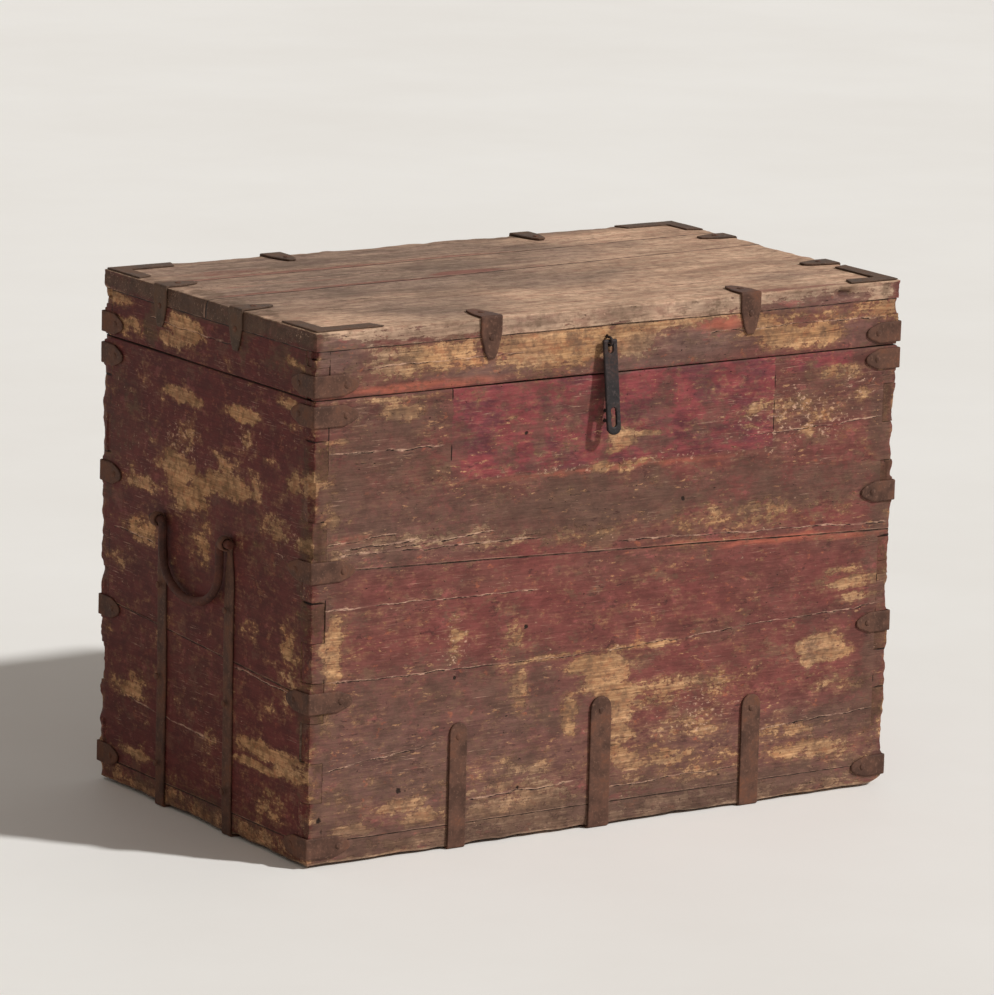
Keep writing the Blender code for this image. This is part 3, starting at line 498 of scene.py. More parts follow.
def mark_strength(along, up, marks):
    strength = np.zeros(len(along))
    for middle_along, middle_up, half_length, half_height, most in marks:
        reach = np.hypot((along - middle_along) / half_length, (up - middle_up) / half_height)
        strength = np.maximum(strength, most * np.clip(MARK_END - reach, 0.0, 1.0))
    return strength


def scattered_marks(seed, length, low, high, count, strongest):
    """Marks for a side that the photograph doesn't show, like those on the left side."""
    generator = np.random.default_rng(seed)
    marks = []
    for _ in range(count):
        half_length = generator.uniform(*SCATTER_HALF_LENGTH)
        marks.append((
            generator.uniform(0.0, length),
            generator.uniform(low, high),
            half_length,
            half_length * generator.uniform(*SCATTER_HEIGHT_SHARE),
            generator.uniform(SCATTER_WEAKEST, strongest),
        ))
    return tuple(marks)


def hidden_side_marks(seed, length, top):
    foot_soil = (length / 2, 0.02, length / 2, 0.025, 0.4)
    return Marks(
        bare=scattered_marks(seed, length, 0.02, top, count=26, strongest=0.95),
        soil=scattered_marks(seed + 1, length, 0.0, top, count=14, strongest=0.45) + (foot_soil,),
        red=scattered_marks(seed + 2, length, 0.0, top, count=12, strongest=0.7),
    )


def face_views(timber, points):
    """For each outer face: its distance in from the face, and along and up on it, at every point."""
    x, y, z = points.T
    return {
        "front": (y - timber.front, x - timber.left, z),
        "back": (timber.back - y, timber.right - x, z),
        "left": (x - timber.left, timber.back - y, z),
        "right": (timber.right - x, y - timber.front, z),
        "top": (timber.top - z, x - timber.left, y - timber.front),
        "bottom": (z - timber.floor, x - timber.left, y - timber.front),
    }


FACE_NORMALS = {
    "front": (0, -1, 0),
    "back": (0, 1, 0),
    "left": (-1, 0, 0),
    "right": (1, 0, 0),
    "top": (0, 0, 1),
    "bottom": (0, 0, -1),
}


def painted(timber, points, normals, marks_by_face):
    """Attributes of every vertex, by name, from the marks of the outer face that it lies on."""
    count = len(points)
    streaks = fractal(points, (9.0, 9.0, 34.0), 11)
    clouds = fractal(points, (16.0, 16.0, 22.0), 12)
    patches = fractal(points, (26.0, 26.0, 38.0), 15)
    warp_along = WARP_ALONG * fractal(points, (40.0, 40.0, 60.0), 13)
    warp_up = WARP_UP * fractal(points, (40.0, 40.0, 70.0), 14)
    base = np.tile(PAINT_BROWN, (count, 1))
    base = blend(base, PAINT_RED, smoothstep(-0.4, 0.8, streaks + 0.5 * clouds))
    base = blend(base, PAINT_DARK, smoothstep(0.0, 0.9, clouds - 0.6 * streaks) * 0.7)
    coat = {"paint": base}
    for name, value in INNER_COAT.items():
        coat[name] = np.full(count, value)
    for face, (depth, along, up) in face_views(timber, points).items():
        facing = normals @ np.array(FACE_NORMALS[face], float)
        share = smoothstep(*FACE_TURN, facing) * (1.0 - smoothstep(*FACE_DEPTH, depth))
        marks = marks_by_face[face]
        strength = {}
        for kind in MARK_KINDS:
            strength[kind] = mark_strength(along + warp_along, up + warp_up, getattr(marks, kind))
        paint = base
        # On the left side this deep red is partly painted shade
        for kind, colour in (("red", PAINT_RED), ("maroon", PAINT_MAROON_AND_SHADE), ("mauve", PAINT_MAUVE)):
            paint = blend(paint, colour, strength[kind])
        orange = strength["orange"] * smoothstep(-0.6, 0.4, streaks + 0.3)
        new = {
            "paint": blend(paint, PAINT_ORANGE, orange),
            "loss": BASE_LOSS + PATCH_LOSS * patches + strength["bare"] - strength["kept"],
            "soil": marks.base_soil + strength["soil"],
            "grey": marks.base_grey + strength["grey"] + CLOUD_GREY * clouds,
            "inside": np.zeros(count),
        }
        for kind in ("crimson", "fleck", "stain"):
            new[kind] = strength[kind]
        for name, values in new.items():
            weight = share[:, None] if values.ndim == 2 else share
            coat[name] = coat[name] + (values - coat[name]) * weight
    return coat


def from_sides(timber, points):
    """How far in each point lies from the nearer end of the chest, and from the nearer of front and back."""
    x, y, _ = points.T
    return np.minimum(x - timber.left, timber.right - x), np.minimum(y - timber.front, timber.back - y)


def edge_distance(timber, points):
    """How far each point lies from the nearest outer edge of the chest, upright or level."""
    z = points[:, 2]
    gaps = np.stack((*from_sides(timber, points), np.minimum(z - timber.floor, timber.top - z)))
    gaps = np.clip(np.sort(gaps, axis=0), 0.0, None)
    return np.hypot(gaps[0], gaps[1])


# Worn boards

def linked(name, data):
    """A new object in the scene."""
    made = bpy.data.objects.new(name, data)
    bpy.context.scene.collection.objects.link(made)
    return made


def remeshed(node, name, settings, squeeze=(1.0, 1.0, 1.0)):
    """A dense copy of a node's mesh; squeeze below 1 makes the new mesh coarser along that axis."""
    source = node.data.copy()
    source.transform(Matrix.Diagonal((*squeeze, 1.0)))
    rough = linked(name, source)
    grid = rough.modifiers.new("grid", "REMESH")
    for key, value in settings.items():
        setattr(grid, key, value)
    bpy.context.view_layer.update()
    graph = bpy.context.evaluated_depsgraph_get()
    mesh = bpy.data.meshes.new_from_object(rough.evaluated_get(graph))
    bpy.data.objects.remove(rough)
    bpy.data.meshes.remove(source)
    mesh.transform(Matrix.Diagonal([1.0 / factor for factor in squeeze] + [1.0]))
    mesh.materials.clear()
    mesh.name = name
    return mesh


def sharp_board_mesh(node, name, grain_axis):
    """A dense copy of a board that keeps its corners sharp, finer across its grain than along it."""
    squeeze = [1.0, 1.0, 1.0]
    squeeze[grain_axis] = GRAIN_SQUEEZE[grain_axis]
    settings = {
        "mode": "SHARP",
        "octree_depth": OCTREE_DEPTH,
        "scale": REMESH_SCALE,
        "sharpness": 1.0,
        "use_remove_disconnected": False,
    }
    return remeshed(node, name, settings, squeeze)


def mesh_arrays(mesh):
    count = len(mesh.vertices)
    points = np.empty(count * 3)
    normals = np.empty(count * 3)
    mesh.vertices.foreach_get("co", points)
    mesh.vertex_normals.foreach_get("vector", normals)
    return points.reshape(-1, 3), normals.reshape(-1, 3)


def keep_attribute(mesh, name, values):
    if values.ndim == 1:
        kept = mesh.attributes.new(name, "FLOAT", "POINT")
        kept.data.foreach_set("value", values.astype(np.float32))
    else:
        kept = mesh.attributes.new(name, "FLOAT_COLOR", "POINT")
        whole = np.ones((len(values), 4), np.float32)
        whole[:, :3] = values
        kept.data.foreach_set("color", whole.ravel())


def finger_gaps(timber, points):
    """How strongly a point lies in a worn slit between fingers or in the line under the lid, 0 to 1."""
    z = points[:, 2]
    to_sides = from_sides(timber, points)
    steps = (z - FINGER_LOW) / FINGER_PITCH
    to_slit = np.abs(steps - np.round(steps)) * FINGER_PITCH
    near_corner = 1.0 - smoothstep(FINGER_NOTCH_REACH * 0.5, FINGER_NOTCH_REACH, np.maximum(*to_sides))
    openness = smoothstep(*SLIT_OPEN, fractal(points, (14.0, 14.0, 21.0), 41, 2))
    slits = near_corner * openness * np.clip(1.0 - to_slit / FINGER_NOTCH_HALF_HEIGHT, 0.0, 1.0)
    lid_line = np.clip(1.0 - np.abs(z - timber.seam) / SEAM_HALF_HEIGHT, 0.0, 1.0)
    return np.maximum(slits, LID_LINE_SHARE * lid_line * (np.minimum(*to_sides) < SEAM_REACH))


def gouge_strength(timber, points):
    """How deep a point lies in the broken-out spot of the lid's front edge, 0 to 1."""
    x, y, z = points.T
    along = (x - timber.left - GOUGE.along) / GOUGE.half_length
    reach = np.hypot(along, (z - GOUGE.up) / GOUGE.half_height)
    ragged = GOUGE_RAGGED * fractal(points, (90.0, 90.0, 120.0), 43, 2)
    near_front = 1.0 - smoothstep(*GOUGE_FADE, y - timber.front)
    return np.clip(GOUGE_MIDDLE - GOUGE_SLOPE * (reach + ragged), 0.0, 1.0) * near_front


def finger_steps(timber, points, grain_axis):
    """How far each point of a wall board moves along it, as its fingers are worn unevenly short."""
    along = points[:, grain_axis]
    across = points[:, 1 - grain_axis]
    low, high = ((timber.left, timber.right), (timber.front, timber.back))[grain_axis]
    at_low_end = along - low < high - along
    to_end = np.where(at_low_end, along - low, high - along)
    finger = np.floor((points[:, 2] - FINGER_LOW) / FINGER_PITCH).astype(np.int64)
    corner = at_low_end + 2 * (across > across.mean())
    uneven = lattice_value(finger, corner.astype(np.int64), grain_axis, 47) / 2 + 0.5
    at_tip = 1.0 - smoothstep(0.0, FINGER_STEP_REACH, to_end)
    shift = FINGER_STEP[grain_axis] * uneven**FINGER_STEP_POWER * at_tip
    return np.where(at_low_end, shift, -shift)


def round_worn_corner(timber, points):
    """Draws the points of the lower right front corner in on to an ellipse."""
    beyond = np.clip((points[:, 0] - timber.right) / WORN_CORNER_X + 1.0, 0.0, None)
    below = np.clip((timber.floor - points[:, 2]) / WORN_CORNER_Z + 1.0, 0.0, None)
    fade = 1.0 - smoothstep(*WORN_CORNER_FADE, points[:, 1] - timber.front)
    outside = np.clip(np.hypot(beyond, below) - 1.0, 0.0, None)
    pull = outside / (1.0 + outside) * fade * (beyond > 0.0) * (below > 0.0)
    points[:, 0] -= beyond * pull * WORN_CORNER_X
    points[:, 2] += below * pull * WORN_CORNER_Z


def sheltered(points, iron_boxes):
    """True for the points that lie in or next to the box round a piece of iron."""
    covered = np.zeros(len(points), bool)
    for low, high in iron_boxes:
        above = points > np.array(low) - IRON_SHELTER_MARGIN
        below = points < np.array(high) + IRON_SHELTER_MARGIN
        covered |= (above & below).all(axis=1)
    return covered


def wear_down(timber, points, normals, gaps, seed, iron_boxes):
    """Points of a board moved in where edges are rubbed and chipped, and up and down with the grain."""
    middle = np.array((
        (timber.left + timber.right) / 2,
        (timber.front + timber.back) / 2,
        (timber.floor + timber.top) / 2,
    ))
    chips = fractal(points, (27.0, 27.0, 52.0), 5, 4)
    nearness = np.clip(1.0 - edge_distance(timber, points) / CORNER_WEAR_REACH, 0.0, 1.0)
    chipped = np.clip(CORNER_WEAR_MEAN + chips, 0.0, CORNER_WEAR_MOST)
    depth = CORNER_WEAR_DEPTH * nearness**CORNER_WEAR_POWER * chipped
    depth *= 1.0 - IRON_SHELTER * sheltered(points, iron_boxes)
    depth = np.maximum(depth, FINGER_NOTCH * gaps)
    inward = middle - points
    inward[:, 2] *= WEAR_UPRIGHT_SHARE
    inward /= np.linalg.norm(inward, axis=1)[:, None]
    waves = fractal(points, (7.0, 7.0, 11.0), 6, 2)
    grain = fractal(points, (18.0, 18.0, 160.0), seed + 7, 2)
    lift = SURFACE_WAVE * waves + GRAIN_RELIEF * grain
    return points + inward * depth[:, None] + normals * lift[:, None]


def worn_board(timber, node, grain_axis, seed, marks_by_face, has_fingers, iron_boxes):
    mesh = sharp_board_mesh(node, f"worn_{node.name}", grain_axis)
    points, normals = mesh_arrays(mesh)
    coat = painted(timber, points, normals, marks_by_face)
    gaps = finger_gaps(timber, points)
    rubbed = np.exp(-edge_distance(timber, points) / RUBBED_REACH)
    chips = fractal(points, (30.0, 30.0, 60.0), 8)
    coat["loss"] += rubbed * (RUBBED_LOSS + RUBBED_CHIPS * chips)
    gouge = gouge_strength(timber, points)
    # Dark slits between fingers and the line under the lid, and painted shade in the broken-out spot
    coat["gap_and_gouge_shade"] = np.maximum(gaps, GOUGE_PAINTED_SHADE * gouge)
    coat["board"] = np.full(len(points), float(seed))
    for name, values in coat.items():
        keep_attribute(mesh, name, values)
    worn = wear_down(timber, points, normals, gaps, seed, iron_boxes)
    worn[:, 1] += GOUGE.depth * gouge
    if has_fingers:
        worn[:, grain_axis] += finger_steps(timber, points, grain_axis)
    round_worn_corner(timber, worn)
    mesh.vertices.foreach_set("co", worn.ravel())
    mesh.shade_smooth()
    mesh.set_sharp_from_angle(angle=CREASE_ANGLE)
    mesh.update()
    return linked(mesh.name, mesh)


# Node materials

class Shader:
    """The nodes of a material or world as nested calls. A value is a node's socket, a number or a tuple."""

    def __init__(self, owner):
        owner.use_nodes = True
        self.owner = owner
        self.tree = owner.node_tree

    def node(self, kind, values=(), **settings):
        made = self.tree.nodes.new(kind)
        for key, value in settings.items():
            setattr(made, key, value)
        for place, value in dict(values).items():
            self.feed(made.inputs[place], value)
        return made

    def feed(self, socket, value):
        if isinstance(value, bpy.types.NodeSocket):
            self.tree.links.new(value, socket)
        elif isinstance(value, tuple) and socket.type == "RGBA":
            socket.default_value = (*value, 1.0)
        else:
            socket.default_value = value

    def math(self, operation, *values, clamp=False):
        made = self.node("ShaderNodeMath", enumerate(values), operation=operation, use_clamp=clamp)
        return made.outputs[0]

    # weighted is the first value times the second, plus the third
    plus = partialmethod(math, "ADD")
    minus = partialmethod(math, "SUBTRACT")
    times = partialmethod(math, "MULTIPLY")
    weighted = partialmethod(math, "MULTIPLY_ADD")
    larger = partialmethod(math, "MAXIMUM")
    size = partialmethod(math, "ABSOLUTE")

    def stirred(self, value, noise, amount):
        """A value moved up and down by noise, which lies round one half."""
        return self.weighted(noise, amount, self.plus(value, -amount / 2))

    def vector(self, operation, *values):
        return self.node("ShaderNodeVectorMath", enumerate(values), operation=operation).outputs[0]

    def scale(self, vector, factor):
        return self.node("ShaderNodeVectorMath", {0: vector, 3: factor}, operation="SCALE").outputs[0]

    def mix(self, share, first, second):
        return self.node("ShaderNodeMix", {0: share, 6: first, 7: second}, data_type="RGBA").outputs[2]

    def noise(self, vector, scale, detail=4.0, roughness=0.55):
        values = {"Vector": vector, "Scale": scale, "Detail": detail, "Roughness": roughness}
        return self.node("ShaderNodeTexNoise", values).outputs[0]

    def span(self, value, low, high, out_low=0.0, out_high=1.0):
        """A value carried from low and high to out_low and out_high, eased at both ends."""
        values = {0: value, 1: low, 2: high, 3: out_low, 4: out_high}
        return self.node("ShaderNodeMapRange", values, interpolation_type="SMOOTHSTEP").outputs[0]

    def share(self, value, low, high):
        return self.node("ShaderNodeMapRange", {0: value, 1: low, 2: high}).outputs[0]

    def attribute(self, name, output="Fac"):
        return self.node("ShaderNodeAttribute", attribute_name=name).outputs[output]

    def place(self):
        return self.node("ShaderNodeTexCoord").outputs["Object"]

    def flat(self, along, up):
        return self.node("ShaderNodeCombineXYZ", {0: along, 1: up}).outputs[0]

    def parts(self, vector):
        return self.node("ShaderNodeSeparateXYZ", {0: vector}).outputs

    def bump(self, height, distance, strength=1.0):
        values = {"Height": height, "Distance": distance, "Strength": strength}
        return self.node("ShaderNodeBump", values).outputs[0]

    def finish(self, **sockets):
        for name, value in sockets.items():
            self.feed(self.tree.nodes["Principled BSDF"].inputs[name.replace("_", " ")], value)
        return self.owner


def line_masks(shader, along, up, lines, bend, least_open):
    """Masks of lines nearly along the grain: the dark open line, and the paler torn wood beside it."""
    wander_place = shader.flat(along, shader.times(up, 3.0))
    bent_up = shader.stirred(up, shader.noise(wander_place, 18.0, 6.0, 0.62), 2 * bend)
    open_part = shader.span(shader.noise(wander_place, 55.0, 3.0, 0.6), 0.42, 0.56, least_open, 1.0)
    dark = 0.0
    pale = 0.0
    for start, start_up, end, end_up, half_width in lines:
        share = shader.share(along, start, end)
        above = shader.minus(bent_up, shader.weighted(share, end_up - start_up, start_up))
        below = shader.plus(above, half_width)
        tips = shader.span(shader.times(share, shader.minus(1.0, share)), 0.0, 0.05)
        torn = shader.span(shader.size(above), half_width * 0.6, half_width * 2.2, 1.0, 0.0)
        line = shader.span(shader.size(below), half_width * 0.4, half_width * 1.3, 1.0, 0.0)
        dark = shader.larger(shader.times(tips, line), dark)
        pale = shader.larger(shader.times(tips, torn), pale)
    return shader.times(dark, open_part), pale


def upright_lines(shader, along, up, lines):
    """A mask of upright lines, open in places: the ends of the other wall's fingers, and a panel's edges."""
    open_part = shader.span(shader.noise(shader.flat(along, up), 26.0, 3.0, 0.6), 0.53, 0.60)
    dark = 0.0
    for middle, low, high, half_width in lines:
        aside = shader.size(shader.minus(along, middle))
        line = shader.span(aside, half_width * 0.5, half_width * 1.8, 1.0, 0.0)
        within = shader.times(shader.math("GREATER_THAN", up, low), shader.math("LESS_THAN", up, high))
        dark = shader.larger(shader.times(line, within), dark)
    return shader.times(dark, open_part)


def hole_mask(shader, along, up, holes):
    """A mask of small round holes with ragged rims."""
    place = shader.flat(along, up)
    ragged = shader.span(shader.noise(place, 400.0, 3.0, 0.6), 0.3, 0.7, 0.7, 1.3)
    dark = 0.0
    for middle_along, middle_up, radius in holes:
        ends = {0: place, 1: (middle_along, middle_up, 0.0)}
        reach = shader.node("ShaderNodeVectorMath", ends, operation="DISTANCE").outputs["Value"]
        hole = shader.span(shader.times(reach, ragged), radius * 0.7, radius * 1.2, 1.0, 0.0)
        dark = shader.larger(hole, dark)
    return dark


def panel_mask(shader, along, up, panels):
    """1 inside a painted panel and 0 outside it, with a ramp across its edges."""
    strength = 0.0
    for left, low, right, high in panels:
        spans = ((along, left, right, PANEL_SIDE_RAMP), (up, low, high, PANEL_LEVEL_RAMP))
        edges = []
        for value, start, end, ramp in spans:
            half = (end - start) / 2
            aside = shader.size(shader.minus(value, start + half))
            edges.append(shader.share(aside, half + ramp / 2, half - ramp / 2))
        strength = shader.larger(shader.math("MINIMUM", *edges), strength)
    return strength


def wood_colour(shader, wood, bands, threads, stain):
    darker = shader.mix(bands, wood.dark, wood.middle)
    lighter = shader.mix(bands, wood.middle, wood.light)
    return shader.mix(stain, shader.mix(threads, darker, lighter), wood.stain)


def timber_material(name, side):
    """Worn paint over old wood, for the boards of one side."""
    shader = Shader(bpy.data.materials.new(name))
    mix, span, noise, scale, attribute = shader.mix, shader.span, shader.noise, shader.scale, shader.attribute
    plus, minus, times, larger = shader.plus, shader.minus, shader.times, shader.larger
    weighted, stirred = shader.weighted, shader.stirred
    look = side.look
    place = shader.place()
    inside = attribute("inside")
    outer = minus(1.0, inside)
    shift = scale(BOARD_SHIFT, attribute("board"))
    stretches = (
        side.grain,
        tuple(FIBRES_ALONG if value == GRAIN_ALONG else value for value in side.grain),
        tuple(look.flake_along if value == GRAIN_ALONG else 1.0 for value in side.grain),
        tuple(CHIP_ALONG if value == GRAIN_ALONG else 1.0 for value in side.grain),
    )
    grain, long_grain, flake_place, chip_place = (
        shader.vector("MULTIPLY_ADD", place, stretch, shift) for stretch in stretches
    )
    axes = shader.parts(place)
    along = weighted(axes[side.axes[0]], side.along_sign, side.along_start)
    up = plus(axes[side.axes[1]], side.up_start)

    fibres = noise(long_grain, 480.0, 3.0, 0.6)
    rings = noise(grain, 70.0, 4.0, 0.55)
    streaks = noise(grain, 260.0, 6.0, 0.70)
    shards = noise(chip_place, 230.0, 6.0, 0.70)
    flakes = noise(flake_place, 58.0, 8.0, look.flake_roughness)
    specks = noise(flake_place, 210.0, 4.0, 0.62)
    clouds = noise(place, 24.0, 7.0, 0.66)

    # Wood
    low_grain = 0.5 - look.grain_contrast / 2
    high_grain = 0.5 + look.grain_contrast / 2
    bands = span(rings, 0.34, 0.64, low_grain, high_grain)
    threads = span(fibres, 0.36, 0.68, low_grain, high_grain)
    stain = span(noise(flake_place, 120.0, 5.0, 0.65), 0.46, 0.66, 0.0, 0.60)
    fresh = wood_colour(shader, look.wood, bands, threads, stain)
    aged = wood_colour(shader, AGED_WOOD, bands, threads, stain)
    wood = mix(plus(attribute("grey"), inside, clamp=True), fresh, aged)
    wood = scale(wood, span(noise(flake_place, 16.0, 7.0, 0.68), 0.30, 0.70, 0.76, 1.22))
    wood = scale(wood, span(streaks, 0.34, 0.66, 0.86, 1.14))
    stained = stirred(attribute("stain"), flakes, 1.2)
    wood = mix(span(stained, 0.25, 0.65, 0.0, 0.80), wood, SEAM_STAIN)
    grime = span(noise(place, 95.0, 7.0, 0.70), 0.44, 0.62, 0.0, look.grime)
    wood = mix(times(grime, weighted(inside, -0.6, 1.0)), wood, look.soil)

    # Paint
    panel = times(panel_mask(shader, along, up, side.panels), outer)
    coloured = span(stirred(larger(attribute("crimson"), panel), flakes, 1.3), 0.42, 0.58)
    streaked = span(noise(chip_place, 42.0, 8.0, 0.70), 0.44, 0.60)
    paint = mix(coloured, attribute("paint", "Color"), mix(streaked, PAINT_CRIMSON, PAINT_PLUM))
    wash_share = weighted(coloured, -0.5 * look.washes, look.washes)
    for colour, fineness, low, high, most in WASHES:
        wash = span(noise(flake_place, fineness, 8.0, 0.74), low, high, 0.0, most)
        paint = mix(times(wash, wash_share), paint, colour)
    tint = span(noise(flake_place, 44.0, 8.0, 0.74), 0.40, 0.60, 0.84, 1.18)
    tint = times(tint, span(streaks, 0.36, 0.64, 0.90, 1.10))
    tint = times(tint, span(fibres, 0.2, 0.8, 0.92, 1.08))

    # Paint loss
    worn = attribute("loss")
    for pattern, amount in ((flakes, 1.9), (specks, 1.3), (streaks, 0.6)):
        worn = stirred(worn, pattern, amount)
    worn = weighted(inside, 3.0, worn)
    bare = span(worn, 0.47, 0.53)
    thin = span(worn, 0.08, 0.50, 0.0, 0.30)
    colour = mix(larger(bare, thin), scale(paint, tint), wood)

    # Soil
    soil = attribute("soil")
    film = stirred(stirred(soil, clouds, 1.3), specks, 0.7)
    film_share = plus(span(film, 0.02, 0.80, 0.0, 0.56), span(film, 0.30, 0.38, 0.0, 0.26))
    colour = mix(film_share, colour, scale(look.soil, tint))

    # Chips and scuffs
    chipped = times(span(noise(place, 17.0, 6.0, 0.64), 0.44, 0.60, 0.0, look.chips), outer)
    light_chips = times(span(shards, 0.605, 0.630, 0.0, 0.88), chipped)
    dark_chips = times(span(shards, 0.360, 0.385, 0.75, 0.0), chipped)
    colour = mix(dark_chips, mix(light_chips, colour, wood), PAINT_DUSK)
    fleck = attribute("fleck")
    rubbed = span(noise(place, 13.0, 4.0, 0.6), 0.46, 0.66)
    hairs = span(noise(long_grain, 760.0, 3.0, 0.7), 0.60, 0.70, 0.0, 0.50)
    chances = weighted(fleck, 0.075, noise(flake_place, 210.0, 6.0, 0.68))
    dots = span(chances, 0.64, 0.70, 0.0, 0.70)
    colour = mix(times(larger(hairs, dots), larger(rubbed, fleck)), colour, PAINT_PALE)

    # Checks, pits and holes
    weather = span(plus(worn, soil), 0.45, 0.90)
    clusters = span(noise(place, 10.0, 5.0, 0.62), 0.42, 0.62)
    checks = span(noise(long_grain, 300.0, 4.0, 0.65), 0.62, 0.71, 0.0, look.checks)
    checks = times(checks, times(weather, clusters))
    pits = larger(span(noise(flake_place, 250.0, 3.0, 0.6), 0.69, 0.75, 0.0, 0.85), checks)
    pits = larger(pits, times(hole_mask(shader, along, up, side.holes), outer))
    colour = mix(pits, colour, CRACK)

    # Cracks, joints, and painted shade in the broken-out spot
    dark, pale = line_masks(shader, along, up, side.cracks, CRACK_BEND, 0.0)
    seam_dark, seam_pale = line_masks(shader, along, up, side.seams, SEAM_BEND, SEAM_LEAST_OPEN)
    dark = larger(larger(dark, seam_dark), upright_lines(shader, along, up, side.uprights))
    dark = larger(times(dark, outer), span(attribute("gap_and_gouge_shade"), 0.35, 0.80))
    pale = times(larger(pale, times(seam_pale, 0.5)), outer)
    pale = times(pale, span(flakes, 0.40, 0.60, 0.1, 0.70))
    colour = mix(dark, mix(pale, colour, PAINT_PALE), CRACK)

    height = weighted(fibres, 0.5, times(rings, 0.4))
    for hollow, depth in ((bare, 0.35), (dark, 1.2), (pits, 0.8)):
        height = minus(height, times(hollow, depth))
    return shader.finish(
        Base_Color=colour,
        Roughness=span(worn, 0.2, 0.7, 0.62, 0.82),
        Specular_IOR_Level=DULL_SPECULAR,
        Normal=shader.bump(height, 0.0012, 0.9),
    )


def iron_material(name, iron):
    shader = Shader(bpy.data.materials.new(name))
    place = shader.place()
    clouds = shader.noise(place, 38.0, 6.0, 0.62)
    grains = shader.noise(place, 260.0, 4.0, 0.6)
    colour = shader.mix(shader.span(clouds, 0.34, 0.60), iron.dark, iron.middle)
    colour = shader.mix(shader.span(grains, 0.52, 0.74, 0.0, 0.7), colour, iron.light)
    rust = shader.times(shader.span(clouds, 0.50, 0.68), shader.span(grains, 0.38, 0.56))
    colour = shader.mix(shader.times(rust, 0.55), colour, iron.rust)
    height = shader.weighted(clouds, 1.2, shader.times(grains, 0.35))
    return shader.finish(
        Base_Color=colour,
        Metallic=iron.metallic,
        Roughness=shader.span(clouds, 0.3, 0.7, iron.roughness - 0.10, iron.roughness + 0.14),
        Specular_IOR_Level=DARK_IRON_SPECULAR if iron.metallic else DULL_SPECULAR,
        Normal=shader.bump(height, 0.0010, 0.7),
    )


# Stage

def make_stage():
    shader = Shader(bpy.data.materials.new("pale_floor"))
    place = shader.place()
    tone = shader.noise(place, 1.1, 6.0, 0.6)
    colour = shader.mix(shader.span(tone, 0.2, 0.8), FLOOR_DARK, FLOOR_LIGHT)
    material = shader.finish(Base_Color=colour, Roughness=0.7)
    bpy.ops.mesh.primitive_plane_add(size=2 * FLOOR_HALF_SIZE)
    floor = bpy.context.object
    floor.name = "floor"
    floor.data.materials.append(material)


def make_light():
    lamp = bpy.data.lights.new("key", "SUN")
    lamp.angle = KEY_ANGLE
    lamp.energy = KEY_STRENGTH
    lamp.color = KEY_COLOUR
    key = linked("key", lamp)
    direction = KEY_DIRECTION.normalized()
    key.location = CAMERA_TARGET + direction * KEY_DISTANCE
    key.rotation_euler = direction.to_track_quat("Z", "Y").to_euler()

    sky = Shader(bpy.data.worlds.new("studio"))
    fill = sky.tree.nodes["Background"]
    sky.feed(fill.inputs["Color"], FILL_COLOUR)
    sky.feed(fill.inputs["Strength"], FILL_STRENGTH)
    seen = sky.node("ShaderNodeBackground", {"Color": BACKGROUND_COLOUR})
    path = sky.node("ShaderNodeLightPath").outputs
    shown = sky.larger(path["Is Camera Ray"], path["Is Glossy Ray"])
    shown = sky.larger(shown, path["Is Transmission Ray"])
    either = sky.node("ShaderNodeMixShader", {0: shown, 1: fill.outputs[0], 2: seen.outputs[0]})
    sky.feed(sky.tree.nodes["World Output"].inputs["Surface"], either.outputs[0])
    bpy.context.scene.world = sky.owner


def make_camera():
    forward = Vector((
        math.sin(CAMERA_AZIMUTH) * math.cos(CAMERA_PITCH),
        math.cos(CAMERA_AZIMUTH) * math.cos(CAMERA_PITCH),
        -math.sin(CAMERA_PITCH),
    ))
    level = Vector((math.cos(CAMERA_AZIMUTH), -math.sin(CAMERA_AZIMUTH), 0.0))
    upright = level.cross(forward)
    right = level * math.cos(CAMERA_ROLL) + upright * math.sin(CAMERA_ROLL)
    up = upright * math.cos(CAMERA_ROLL) - level * math.sin(CAMERA_ROLL)
    lens = bpy.data.cameras.new("camera")
    lens.sensor_width = SENSOR_WIDTH
    lens.lens = FOCAL_PIXELS * SENSOR_WIDTH / FRAME_PIXELS
    lens.clip_end = CLIP_END
    camera = linked("camera", lens)
    turned = Matrix((right, up, -forward)).transposed().to_4x4()
    camera.matrix_world = Matrix.Translation(CAMERA_TARGET - forward * CAMERA_DISTANCE) @ turned
    bpy.context.scene.camera = camera


# The chest

# How much the noise of the grain is stretched out along x, y and z
GRAIN_ALONG = 0.12
FIBRES_ALONG = 0.04
X_GRAIN = (GRAIN_ALONG, 0.34, 1.0)
Y_GRAIN = (0.34, GRAIN_ALONG, 1.0)
TOP_GRAIN = (GRAIN_ALONG, 1.0, 1.0)
CHIP_ALONG = 0.30
X_AND_Z = (0, 2)
Y_AND_Z = (1, 2)
X_AND_Y = (0, 1)
BOARD_SHIFT = (0.37, 0.61, 0.23)
LOOK_PARTS = "wood soil grain_contrast flake_along flake_roughness washes grime checks chips"
Look = namedtuple("Look", LOOK_PARTS)
LONG_LOOK = Look(FRESH_WOOD, SOIL, 1.0, 0.62, 0.71, 1.0, 0.50, 0.80, 1.0)
END_LOOK = Look(FRESH_WOOD, SOIL_OLIVE_AND_SHADE, 0.80, 0.75, 0.63, 0.5, 0.55, 0.60, 0.18)
TOP_LOOK = Look(PALE_WOOD, SOIL_DARK, 0.60, 0.40, 0.70, 1.0, 0.32, 0.60, 0.7)
SIDE_PARTS = "look grain axes along_start along_sign up_start cracks seams uprights panels holes"
Side = namedtuple("Side", SIDE_PARTS, defaults=((), (), ()))


def finger_joint_lines(length):
    """Where the fingers of the neighbouring walls end, on a side of the given length."""
    ends = (WALL_THICKNESS, length - WALL_THICKNESS)
    return tuple((along, FINGER_LOW, LID_RAIL_TOP, JOINT_HALF_WIDTH) for along in ends)


